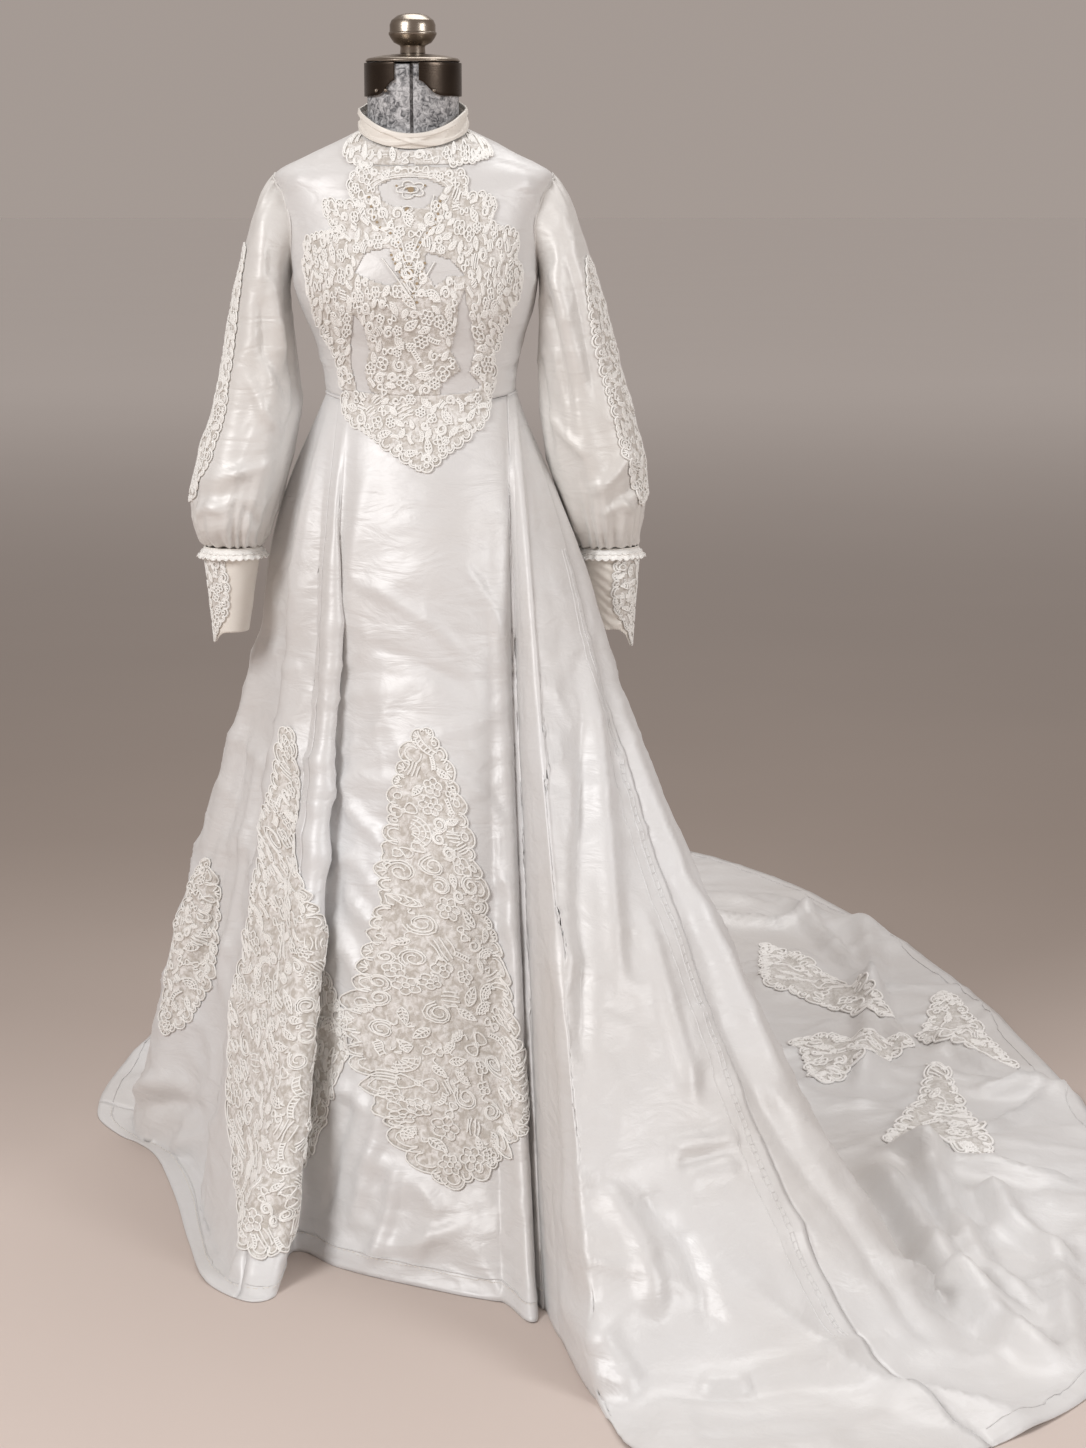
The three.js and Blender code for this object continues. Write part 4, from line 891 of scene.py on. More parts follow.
# Cuffs, their puckers, and the scalloped frill round each top.
frill = {"waves": 16, "wave": 1.5, "flare": 7.5, "high": 897, "low": 883.5, "around": 144}
cuffCloths = {}
for name, cuff in cuffs.items():
    def cuffPress(turn, share, p, name=name):
        rise = 0.9 * ruffle(p, 30, 7, (1, 0, 0), 2)
        if name == "right":
            front = math.exp(-(((turn - 0.27) / 0.13) ** 2))
            rise += 1.5 * front * math.sin(share * 46 + 4 * math.sin(turn * 17)) * ease(0.03, 0.15, share)
        return rise
    cloth = Cloth(evenly(0, 1, 72), evenly(0, 1, 44), lambda a, b, name=name: cuffPoint(name, a, b),
                  -1 if name == "right" else 1, True)
    cloth.press(cuffPress)
    cuffCloths[name] = cloth
    piece = clothPiece("cuff" + name.title(), cloth, slice(0, len(cloth.across)), creamFinish, "cream_satin",
                       ["cuff_" + name], 0.0014)
    "sleeve" + name.title()

    def frillPoint(turn, share, cuff=cuff):
        angle = 2 * math.pi * turn
        scallop = abs(math.sin(frill["waves"] * angle))
        out = 0.8 + frill["flare"] * share ** 1.3 + frill["wave"] * math.cos(frill["waves"] * 1.3
                                                                             * angle) * share
        x, y, half, deep = cuff["top"][:4]
        low = mix(frill["high"] - 3, frill["low"] - 3.4 * scallop, share)
        return (cuff["side"] * (x - (half + out) * math.cos(angle)), y - (deep + out) * math.sin(angle), low)
    cloth = Cloth(evenly(0, 1, frill["around"]), evenly(0, 1, 8), frillPoint, -1 if name == "right" else 1,
                  True)
    piece = clothPiece("cuffFrill" + name.title(), cloth, slice(0, len(cloth.across)), laceFinish,
                       "cream_lace",
                       ["cuff_frill_" + name], 0.001)
    "sleeve" + name.title()
    edge = [cloth.on(turn, 1, 0.5) for turn in cloth.across[:-1]]
    middle = [cloth.on(turn, 0.5, 0.7) for turn in cloth.across[:-1]]
    trim = newPiece("frillEdge" + name.title(), cordMesh([edge, middle], 0.0011, 0, {0, 1}), laceFinish,
                    "cream_lace")

# Collar: a folded bias band with two folds that cross at the front.
collar = {"around": 200, "rows": 34, "half": (71, 69), "fore": (61, 62), "aft": (65, 66),
          "rim": {"side": 1482, "front": 1449, "back": 1508}, "thick": 0.0022}


def collarPoint(at, share):
    base = bodyRing(12)
    ring = {key: mix(base[key] + 0.6, collar["rim"][key], share) for key in ("side", "front", "back")}
    ring.update({key: mix(*collar[key], share) for key in ("half", "fore", "aft")}, shift=0, square=2.05)
    return ringPoint(ring, at)


def collarPress(at, share, p):
    away = (at + 180) % 360 - 180
    near = math.exp(-((away / 75) ** 2))

    def band(lean, high, width):
        middle = mix(0.62, 0.5 + lean * away / 95, near)
        return high * (1 - ease(width * 0.62, width, abs(share - middle)))
    rise = max(band(1.5, 3.6, 0.2), band(-1.5, 2.6, 0.2) if near > 0.2 else 0)
    rim = 3.8 * (1 - ease(0.1, 0.19, abs(share - 0.84)))
    knot = 2.4 * math.exp(-((away / 6) ** 2 + ((share - 0.42) / 0.2) ** 2))
    fine = 1.1 * ruffle(p, 45, 2, (1, 0, 0), 3) + 0.9 * (crumple(p, 38, 6, (1, 0, 0.2), 3) - 0.3)
    return max(rise, rim) + knot + fine + 0.6 * math.sin(math.pi * share)


collarCloth = Cloth(evenly(0, 360, collar["around"]), evenly(0, 1, collar["rows"]), collarPoint, -1, True)
collarCloth.press(collarPress)
piece = clothPiece("collarBand", collarCloth, slice(0, len(collarCloth.across)), creamFinish, "cream_satin",
                   ["collar_band"], collar["thick"])
print("cuffs and collar made")

# Dress form: one smooth felt body from the hips to the neck, with a slit down the front of the neck.
form = {"gap": 3.4, "around": 120, "slit": 2.3, "slitDepth": 9,
        "hip": [[862, 20, 20, 20, 8], [863, 110, 84, 88, 8], [872, 127, 99, 104, 8], [960, 129, 100, 106, 8],
                [1040, 124, 95, 100, 8]],
        "neck": [[1456, 62, 53, 57], [1478, 61, 54, 57], [1505, 61, 55, 57], [1530, 62, 57, 58],
                 [1538, 61, 56, 57], [1539, 20, 18, 18]]}


def formRings():
    angles = [at for at in evenly(-180, 180, form["around"]) if abs(at) > 5]
    angles = sorted(angles + [-4.2, -2.9, -2.2, -1.9, 0, 1.9, 2.2, 2.9, 4.2])

    def level(z, half, fore, aft, shift, square, slit):
        points = []
        for at in angles:
            x, y, h = ringPoint({"side": z, "front": z, "back": z, "half": half, "fore": fore, "aft": aft,
                                 "shift": shift, "square": square}, at)
            points.append((x, y + (form["slitDepth"] if slit and abs(at) < 2.05 else 0), h))
        return points
    rings = [level(*row, 2.1, False) for row in form["hip"]]
    rings += [[bodyOuter(at, row, -2 - form["gap"]) for at in angles] for row in evenly(0, 11, 44)]
    rings.append([ringPoint({"side": 1449, "front": 1428, "back": 1474, "half": 64.2, "fore": 54.4,
                             "aft": 58.4,
                             "shift": 0, "square": 2.05}, at) for at in angles])
    rings += [level(*row, 0, 2, True) for row in form["neck"]]
    return rings


rings = formRings()
mesh = clothMesh([list(line) for line in zip(*rings)], True)
bmesh.ops.holes_fill(mesh, edges=[e for e in mesh.edges if e.is_boundary], sides=0)
bmesh.ops.recalc_face_normals(mesh, faces=mesh.faces)
newPiece("dressForm", mesh, feltFinish, "grey_felt", "form_torso")


# Turned parts, from a profile of radius and height in millimetres.
def turnedPiece(name, profile, finish, slot, nodes, steps=64, round_=0.0):
    mesh = bmesh.new()
    verts = [mesh.verts.new((r * 0.001, 0, z * 0.001)) for r, z in profile]
    edges = [mesh.edges.new(pair) for pair in zip(verts, verts[1:])]
    bmesh.ops.spin(mesh, geom=verts + edges, axis=(0, 0, 1), cent=(0, 0, 0), angle=2 * math.pi, steps=steps,
                   use_merge=True)
    bmesh.ops.remove_doubles(mesh, verts=mesh.verts, dist=1e-6)
    bmesh.ops.recalc_face_normals(mesh, faces=mesh.faces)
    piece = newPiece(name, mesh, finish, slot, *nodes)
    if round_:
        soft = piece.modifiers.new("edges", "BEVEL")
        soft.width, soft.segments, soft.limit_method = round_, 3, "ANGLE"
    return piece


turnedPiece("capDome",
            [(0, 1541), (61, 1541), (63.5, 1543), (60, 1546.5), (40, 1550.5), (17, 1552.6), (0, 1552.6)],
            nickelFinish, "aged_nickel", ["cap_dome"], round_=0.0012)
turnedPiece("finial", [(0, 1553), (17, 1553), (16.4, 1560), (17, 1563), (25, 1567), (29.5, 1573), (31, 1576),
                       (32, 1577.5), (32, 1580), (30.5, 1581), (30.5, 1590), (28, 1596), (20, 1602),
                       (10, 1604.8),
                       (0, 1605.4)], nickelFinish, "aged_nickel", ["finial"], round_=0.0007)
turnedPiece("standPole", [(0, 13.4), (16, 13.4), (16, 861.4), (0, 861.4)], ironFinish, "painted_iron",
            ["stand_pole"], round_=0.0006)
turnedPiece("standBase", [(0, 0), (168, 0), (170, 2), (170, 8), (162, 13), (0, 13)], ironFinish,
            "painted_iron",
            ["stand_base"], 96, round_=0.0015)

capPlates = {
    "left": {"from": 20, "to": 176, "rivets": [31, 45]},
    "right": {"from": -9, "to": -172, "rivets": [-27]},
}
for name, plate in capPlates.items():
    def platePoint(at, share, plate=plate):
        corner = 20 * math.exp(-(((at - plate["from"]) / (plate["to"] - plate["from"]) * 12 / 1.1) ** 2))
        z = mix(1497 + corner, 1540.5, share)
        return ringPoint({"side": z, "front": z, "back": z, "half": 65, "fore": 60, "aft": 61, "shift": 0,
                          "square": 2}, at)
    cloth = Cloth(evenly(plate["from"], plate["to"], 60), evenly(0, 1, 10), platePoint, -1
                  if name == "left" else 1)
    mesh = clothMesh(cloth.points)
    mesh.normal_update()
    faceOut(mesh, cloth, slice(0, 61))
    piece = newPiece("capPlate" + name.title(), mesh, plateFinish, "aged_nickel", "cap_plate_" + name)
    thicken(piece, 0.002)
    soft = piece.modifiers.new("edges", "BEVEL")
    soft.width, soft.segments, soft.limit_method = 0.0006, 2, "ANGLE"
    for k, at in enumerate(plate["rivets"]):
        mesh = bmesh.new()
        bmesh.ops.create_uvsphere(mesh, u_segments=20, v_segments=12, radius=0.0026)
        x, y, z = ringPoint({"side": 1504, "front": 1504, "back": 1504, "half": 65.6, "fore": 60.6,
                             "aft": 61.6,
                             "shift": 0, "square": 2}, at)
        bmesh.ops.translate(mesh, verts=mesh.verts, vec=(x * 0.001, y * 0.001, z * 0.001))
        newPiece(f"rivet{name.title()}{k + 1}", mesh, nickelFinish, "aged_nickel",
                 f"cap_plate_{name}_rivet_{k + 1}")
print("dress form made")

# Closure down the centre back: lapped strip and covered buttons.
closure = {"half": 5.5, "low": 0.3, "high": 11.8, "buttons": [9.2, 10.3, 11.4], "radius": 6}
strip = Cloth(evenly(-closure["half"], closure["half"], 6), evenly(closure["low"], closure["high"], 60),
              lambda a, row: onBodice(180 + a, row, 2.2 - 0.9 * (abs(a) / 5.5) ** 6, "back"), -1)
piece = clothPiece("backPlacket", strip, slice(0, 7), satinFinish, "ivory_satin", ["back_placket"], 0.001)
for k, row in enumerate(closure["buttons"]):
    mesh = bmesh.new()
    bmesh.ops.create_uvsphere(mesh, u_segments=28, v_segments=16, radius=closure["radius"] * 0.001)
    bmesh.ops.scale(mesh, verts=mesh.verts, vec=(1, 0.5, 1))
    x, y, z = onBodice(180, row, 4.6, "back")
    bmesh.ops.translate(mesh, verts=mesh.verts, vec=(x * 0.001, y * 0.001, z * 0.001))
    newPiece(f"backButton{k + 1}", mesh, creamFinish, "covered_button", f"back_button_{k + 1}")
print("closure made")


# Lace: a net with raised cords laid in scrolls, petals, leaves and ladders inside a scalloped edge.
# Its flat pattern is in millimetres, x across and y along; a frame maps that onto the cloth.
def inside(x, y, outline):
    odd, last = False, outline[-1]
    for point in outline:
        if (point[1] > y) != (last[1] > y):
            if x < (last[0] - point[0]) * (y - point[1]) / (last[1] - point[1]) + point[0]:
                odd = not odd
        last = point
    return odd


def edgeDistance(x, y, outline):
    best, last = 1e9, outline[-1]
    for point in outline:
        dx, dy = point[0] - last[0], point[1] - last[1]
        s = clamp(((x - last[0]) * dx + (y - last[1]) * dy) / (dx * dx + dy * dy or 1e-9), 0, 1)
        best = min(best, math.hypot(x - last[0] - dx * s, y - last[1] - dy * s))
        last = point
    return best


# A frame for long lace: levels along one axis of the cloth, each with its own scale across.
def levelFrame(on, axis, low, high, step):
    levels, run = evenly(low, high, 60), [0.0]
    for a, b in zip(levels, levels[1:]):
        run.append(run[-1] + (Vector(on(axis(b), b)) - Vector(on(axis(a), a))).length)
    scale = [(Vector(on(axis(b) + step, b)) - Vector(on(axis(b) - step, b))).length / (2 * step)
             for b in levels]

    def level(y):
        k = int(clamp(bisect_right(run, y) - 1, 0, 59))
        s = clamp((y - run[k]) / (run[k + 1] - run[k]), -1.5, 2.5)
        return mix(levels[k], levels[k + 1], s), mix(scale[k], scale[k + 1], clamp(s, 0, 1))

    def toCloth(x, y):
        b, k = level(y)
        return axis(b) + x / k, b

    def toFlat(a, b):
        n = int(clamp(bisect_right(levels, b) - 1, 0, 59))
        s = (b - levels[n]) / (levels[n + 1] - levels[n])
        return (a - axis(b)) * mix(scale[n], scale[n + 1], s), mix(run[n], run[n + 1], s)
    return toCloth, toFlat


# A frame for a small piece of lace: the cloth taken as flat round its middle.
def flatFrame(on, middle, da, db):
    a0, b0 = middle
    centre = Vector(on(a0, b0))
    u, v = (Vector(on(a0 + da, b0)) - centre) / da, (Vector(on(a0, b0 + db)) - centre) / db
    ex = u.normalized()
    ey = (v - ex * ex.dot(v)).normalized()
    ux, vx, vy = u.length, ex.dot(v), ey.dot(v)

    def toCloth(x, y):
        b = y / vy
        return a0 + (x - vx * b) / ux, b0 + b

    def toFlat(a, b):
        return (a - a0) * ux + (b - b0) * vx, (b - b0) * vy
    return toCloth, toFlat


def arc(x, y, radius, first, last, count, squash_=1.0, turn=0.0):
    co, si = math.cos(turn), math.sin(turn)
    points = []
    for k in range(count + 1):
        angle = mix(first, last, k / count)
        px, py = radius * math.cos(angle), radius * math.sin(angle) * squash_
        points.append((x + px * co - py * si, y + px * si + py * co))
    return points


def moved(points, x, y, turn):
    co, si = math.cos(turn), math.sin(turn)
    return [(x + px * co - py * si, y + px * si + py * co) for px, py in points]


def scroll(r, pick):
    turns, way = pick.uniform(1.3, 1.9), pick.choice((-1, 1))
    return [[(q * (1 - 0.8 * s) * math.cos(s * turns * 6.28), way * q * (1 - 0.8 * s)
              * math.sin(s * turns * 6.28))
             for s in evenly(0, end, 18)] for q, end in ((r, 1), (r * 0.76, 0.55))]


def rosette(r, pick):
    petals = pick.choice((4, 5, 6))
    edge = [(r * (0.68 + 0.3 * abs(math.cos(petals * a / 2))) * math.cos(a),
             r * (0.68 + 0.3 * abs(math.cos(petals * a / 2))) * math.sin(a))
             for a in evenly(0, 6.283, petals * 6)]
    lines = [edge, arc(0, 0, r * 0.26, 0, 6.283, 8)]
    for k in range(petals):
        a = 6.283 * (k + 0.5) / petals
        lines.append([(r * 0.34 * math.cos(a), r * 0.34 * math.sin(a)),
                      (r * 0.62 * math.cos(a), r * 0.62 * math.sin(a))])
    return lines


def leaf(r, pick):
    wide = pick.uniform(0.38, 0.52)
    side = [(mix(-r, r, s), r * wide * math.sin(math.pi * s ** 0.8)) for s in evenly(0, 1, 9)]
    lines = [side, [(x, -y) for x, y in side], [(-r, 0), (r * 0.8, 0)]]
    for s in (0.25, 0.45, 0.65):
        x, y = mix(-r, r, s), r * wide * math.sin(math.pi * s ** 0.8)
        lines += [[(x - r * 0.12, 0), (x + r * 0.08, y * 0.85)],
                  [(x - r * 0.12, 0), (x + r * 0.08, -y * 0.85)]]
    return lines


def ladder(r, pick):
    bend = pick.uniform(-0.4, 0.4)
    lines = [[(mix(-r, r, s), side * r * 0.24 + bend * r * math.sin(math.pi * s)) for s in evenly(0, 1, 7)]
             for side in (-1, 1)]
    for s in evenly(0.08, 0.92, 5):
        x, y = mix(-r, r, s), bend * r * math.sin(math.pi * s)
        lines.append([(x, y - r * 0.24), (x, y + r * 0.24)])
    return lines


def fan(r, pick):
    lines = [arc(0, -r * 0.5, r * q, 0.5, 2.64, 9) for q in (1.35, 1.05, 0.72)]
    for a in evenly(0.7, 2.44, 4):
        lines.append([(r * 0.3 * math.cos(a), r * (0.3 * math.sin(a) - 0.5)),
                      (r * 1.3 * math.cos(a), r * (1.3 * math.sin(a) - 0.5))])
    return lines


def strokes(r, pick):
    lines = []
    for k in range(4):
        y = mix(-0.66, 0.66, k / 3) * r
        half = math.sqrt(max(0.1, 1 - (y / r) ** 2)) * r
        sway = pick.uniform(-0.2, 0.2) * r
        lines.append([(mix(-half, half, s), y + sway * math.sin(math.pi * s)) for s in evenly(0, 1, 6)])
    return lines


def doubleLoop(r, pick):
    return [[(r * math.sin(s), r * 0.55 * math.sin(2 * s)) for s in evenly(0, 6.283, 22)],
            arc(0, 0, r * 0.2, 0, 6.283, 7)]


motifs = [scroll, rosette, leaf, fan, strokes, doubleLoop, ladder, scroll, leaf, rosette]


# Lines of one piece of lace, inside its outline and outside its windows.
def lacePattern(outline, seed, size, windows=(), plain=None, packed=1.0):
    pick = random.Random(seed)
    lines, discs = [], []
    # scalloped edge: lobes of uneven size, each with an inner arc and short spokes
    length = [0.0]
    ring = outline + outline[:1]
    for p, q in zip(ring, ring[1:]):
        length.append(length[-1] + math.hypot(q[0] - p[0], q[1] - p[1]))
    area = sum(p[0] * q[1] - q[0] * p[1] for p, q in zip(ring, ring[1:]))
    way, run = (1 if area > 0 else -1), 0.0

    def along(s):
        k = int(clamp(bisect_right(length, s) - 1, 0, len(ring) - 2))
        t = (s - length[k]) / (length[k + 1] - length[k] or 1)
        return mix(ring[k][0], ring[k + 1][0], t), mix(ring[k][1], ring[k + 1][1], t)
    while run < length[-1] - 4:
        wide = min(size * pick.uniform(0.7, 1.5), length[-1] - run)
        (ax, ay), (bx, by) = along(run), along(min(run + wide, length[-1] - 1e-6))
        if plain and plain((ax + bx) / 2, (ay + by) / 2):
            run += wide * 0.5
            continue
        span = math.hypot(bx - ax, by - ay) or 1
        nx, ny = way * (by - ay) / span, -way * (bx - ax) / span
        cx, cy, r = (ax + bx) / 2 - nx * wide * 0.12, (ay + by) / 2 - ny * wide * 0.12, wide * 0.53
        turn = math.atan2(ny, nx)
        lines.append(arc(cx, cy, r, -1.75, 1.75, 10, 1, turn))
        kind = pick.random()
        if kind < 0.5:
            lines.append(arc(cx, cy, r * 0.58, -1.9, 1.9, 7, 1, turn))
        elif kind < 0.75:
            lines += [moved([(r * 0.15, 0), (r * 0.78, 0)], cx, cy, turn + a) for a in (-0.9, -0.3, 0.3, 0.9)]
        else:
            lines.append(arc(cx, cy, r * 0.36, 0, 6.283, 8))
        discs.append((cx, cy, r))
        run += wide * 0.93
    # motifs packed inside, each turned its own way, with stems between neighbours
    xs, ys = [p[0] for p in outline], [p[1] for p in outline]
    centres = []
    tries = int((max(xs) - min(xs)) * (max(ys) - min(ys)) / (size * size) * 40 * packed)
    for _ in range(tries):
        x, y, r = pick.uniform(min(xs), max(xs)), pick.uniform(min(ys), max(ys)), size * pick.uniform(0.42,
                                                                                                      0.85)
        if not inside(x, y, outline) or edgeDistance(x, y, outline) < r * 0.8:
            continue
        if any(inside(x, y, w) or edgeDistance(x, y, w) < r * 0.8 for w in windows):
            continue
        if any(math.hypot(x - cx, y - cy) < (r + q) * 0.88 / packed for cx, cy, q in centres):
            continue
        centres.append((x, y, r))
    for x, y, r in centres:
        turn = pick.uniform(0, 6.283)
        lines += [moved(line, x, y, turn) for line in pick.choice(motifs)(r, pick)]
        near = sorted(centres, key=lambda c: math.hypot(c[0] - x, c[1] - y))[1:3]
        for cx, cy, q in near:
            gap = math.hypot(cx - x, cy - y) or 1
            if cx < x or gap > size * 2.4:
                continue
            ux, uy = (cx - x) / gap, (cy - y) / gap
            bend = pick.uniform(-0.3, 0.3) * gap
            line = []
            for s in evenly(0, 1, 5):
                d = mix(r * 0.8, gap - q * 0.8, s)
                line.append((x + ux * d - uy * bend * math.sin(math.pi * s), y + uy * d + ux * bend
                             * math.sin(math.pi * s)))
            if not any(inside(px, py, w) for px, py in line for w in windows):
                lines.append(line)
    discs += [(x, y, r * 1.02) for x, y, r in centres]
    return lines, discs


laceSettings = {"cord": 0.0014, "netThick": 0.0005, "netLift": 0.7, "cordLift": 2.1, "cell": 3.2}


def layLace(name, node, frames, outline, on, seed, size, windows=(), finish=None, net=None, cell=None,
            rests="skirtFront", plain=None, packed=1.0, cord=None):
    toCloth, toFlat = frames
    flat = [toFlat(a, b) for a, b in outline]
    flatWindows = [[toFlat(a, b) for a, b in w] for w in windows]
    off = (lambda x, y: plain(*toCloth(x, y))) if plain else None
    lines, discs = lacePattern(flat, seed, size, flatWindows, off, packed)
    cell = cell or laceSettings["cell"]
    discs = [(x, y, r * r) for x, y, r in discs]
    xs = [p[0] for p in flat] + [d[0] + sign * size for d in discs for sign in (-1, 1)]
    ys = [p[1] for p in flat] + [d[1] + sign * size for d in discs for sign in (-1, 1)]
    left, top = min(xs), min(ys)
    columns, rows = max(2, int((max(xs) - left) / cell)), max(2, int((max(ys) - top) / cell))
    mesh = bmesh.new()
    bmesh.ops.create_grid(mesh, x_segments=columns, y_segments=rows, size=1)
    for v in mesh.verts:
        v.co.x, v.co.y = left + (v.co.x + 1) / 2 * columns * cell, top + (v.co.y + 1) / 2 * rows * cell

    def covered(x, y):
        if any((x - cx) ** 2 + (y - cy) ** 2 < rr for cx, cy, rr in discs):
            return True
        return inside(x, y, flat) and not any(inside(x, y, w) for w in flatWindows)
    gone = [f for f in mesh.faces if not covered(*f.calc_center_median()[:2])]
    bmesh.ops.delete(mesh, geom=gone, context="FACES")
    for v in mesh.verts:
        v.co = Vector(on(*toCloth(v.co.x, v.co.y), laceSettings["netLift"])) * 0.001
    area = sum(f.calc_area() for f in mesh.faces)
    mesh.normal_update()
    mesh.faces.ensure_lookup_table()
    a, b = toCloth(sum(p[0] for p in flat) / len(flat), sum(p[1] for p in flat) / len(flat))
    middle = Vector(on(a, b)) * 0.001
    face = min(mesh.faces, key=lambda f: (f.calc_center_median() - middle).length)
    if face.normal.dot((Vector(on(a, b, 1)) - Vector(on(a, b))).normalized()) < 0:
        bmesh.ops.reverse_faces(mesh, faces=mesh.faces)
    slotName = "cream_lace"
    ground = thicken(newPiece(name + "Net", mesh, net or netFinish, slotName, node),
                     laceSettings["netThick"], 1)
    wide, long = max(xs) - left, max(ys) - top
    round(wide * 0.001, 3)
    round(long * 0.001, 3)
    round(clamp(area, 0.32 * wide * long * 1e-6, 0.99 * wide * long * 1e-6), 5)
    placed = [[on(*toCloth(x, y), laceSettings["cordLift"]) for x, y in line] for line in lines
              if len(line) > 1]
    newPiece(name + "Cords", cordMesh(placed, cord or laceSettings["cord"], 0), finish or laceFinish,
             slotName, node)
    return lines


# An outline from rows of position along, left edge and right edge.
def sides(rows):
    return [(left, b) for b, left, right in rows] + [(right, b) for b, left, right in reversed(rows)]


def onSkirt(at, t, lift=0.0):
    return skirtCloth.on(at, t, lift)


centreLace = [[0.362, 2, -1.2], [0.398, 9, -11], [0.435, 14, -18], [0.471, 15, -22], [0.507, 16.3, -27],
              [0.543, 18, -33], [0.58, 21, -39], [0.616, 24, -46], [0.652, 26, -48], [0.689, 32, -54],
              [0.725, 31.6, -57], [0.761, 22.7, -54], [0.797, 16, -44], [0.834, 10.7, -38], [0.87, -5, -7]]
frames = levelFrame(onSkirt, lambda t: mix(0, -14, ease(0.36, 0.6, t)), 0.35, 0.89, 1.5)
layLace("centreLace", "skirt_lace_centre", frames, sides(centreLace), onSkirt, 11, 21)
leftLace = [[0.37, 67, 65.5], [0.415, 67.5, 63], [0.461, 68, 62], [0.505, 68.5, 55], [0.548, 69, 51],
            [0.592, 69, 47], [0.635, 69.5, 43], [0.679, 70, 38], [0.722, 70, 34], [0.766, 69, 36],
            [0.809, 68, 39.5], [0.853, 66, 40.5], [0.896, 62, 48], [0.92, 58, 53]]
frames = levelFrame(onSkirt, lambda t: mix(66, 56, ease(0.37, 0.62, t)), 0.35, 0.935, 1.0)
layLace("leftLace", "skirt_lace_left", frames, sides(leftLace), onSkirt, 23, 20)
sideLace = [[0.606, 93.8, 92.0], [0.646, 96, 87], [0.686, 97.5, 85.5], [0.726, 97.5, 85],
            [0.766, 97, 86], [0.806, 97, 88], [0.83, 95, 92]]
frames = levelFrame(onSkirt, lambda t: 91.5, 0.59, 0.845, 1.0)
layLace("sideLace", "skirt_lace_side", frames, sides(sideLace), onSkirt, 31, 16, rests="skirtSideLeft")
print("skirt lace laid")

trainLaces = {
    "trainLace1": ("train_lace_1", [(201, 0.852), (208, 0.782), (220.5, 0.876)], 41),
    "trainLace2": ("train_lace_2", [(218, 0.765), (226.5, 0.768), (224, 0.882)], 42),
    "trainLace3": ("train_lace_3", [(219, 0.962), (228.6, 0.962), (223.6, 0.896)], 43),
    "trainLace4": ("train_lace_4", [(226.8, 0.892), (240, 0.878), (237.5, 0.8)], 44),
}
for name, (node, corners, seed) in trainLaces.items():
    middle = (sum(c[0] for c in corners) / 3, sum(c[1] for c in corners) / 3)
    frames = flatFrame(onSkirt, middle, 2.0, 0.02)
    layLace(name, node, frames, corners, onSkirt, seed, 25, finish=trainLaceFinish, net=trainNetFinish,
            cell=4.5,
            rests="trainMain", packed=0.72, cord=0.0022)
print("train lace laid")

# Degrees and row on the bodice: picked on the photo and converted once by another script.
bodiceLace = [
    (17, 7.6), (23, 7.67), (29.5, 7.53), (36, 7.8), (38.5, 7.53), (36.5, 7.2), (31.5, 6.9), (27, 6.7),
    (31.5, 6.63),
    (40.5, 6.5), (54, 6.2), (54.5, 5.97), (49, 5.77), (57, 5.47), (56.5, 5.1), (53, 4.87), (55.5, 4.3),
    (53, 3.8),
    (56.5, 3.03), (54, 2.67), (55, 2.17), (53, 1.87), (48, 1.53), (48.5, 1.27), (52, 0.63), (51.5, 0.4),
    (50, 0.36),
    (32.5, 0.36), (13, 0.36), (-11.5, 0.36), (-27.5, 0.36), (-44.5, 0.36), (-49, 0.5), (-45.5, 1.37),
    (-43, 1.73), (-46.5, 2.13),
    (-44.5, 2.57), (-48, 3.07), (-48.5, 3.5), (-53.5, 3.93), (-57, 4.63), (-56.5, 5.2), (-50.5, 5.6),
    (-53, 6.03),
    (-52.5, 6.47), (-42, 6.67), (-34.5, 6.8), (-33, 6.97), (-34, 7.33), (-36.5, 7.47), (-35, 7.83),
    (-30.5, 7.97),
    (-25.5, 8), (-21, 7.97), (-19.5, 8.1), (-20.5, 8.57), (-20, 9.23), (-18.5, 9.6), (0, 9.9), (22.5, 9.8),
    (21.5, 9.3), (23.5, 8.67), (23.5, 8.03), (19, 7.77)]
bodiceWindows = [
    [(26.5, 3.4), (23, 2.9), (24.5, 1.9), (30.5, 1.17), (28.5, 0.47), (18, 0.1), (26, 0.05), (38, 0.37),
     (39.5, 1.33),
     (34.5, 2.23)],
    [(-21, 4.43), (-25, 3.2), (-31.5, 1.87), (-29.5, 1.13), (-39, 0.6), (-21, 0.17), (-12, 0.27), (-13, 0.83),
     (-24.5, 1.23), (-17, 1.93), (-18.5, 2.9), (-18, 3.77)],
    [(17, 5.93), (7, 6.1), (5.5, 5.67), (3, 4.9), (6.5, 4.63), (17.5, 4.97), (22, 5.17)],
    [(-5, 5.93), (-14.5, 5.67), (-21, 5.07), (-14, 5.03), (-7.5, 4.63), (-4, 5.3)],
    [(12, 8.5), (7, 8.8), (0.5, 9.0), (-6, 8.8), (-12, 8.43), (-9, 7.9), (-4.5, 7.57), (5, 7.57), (10, 7.9)],
]
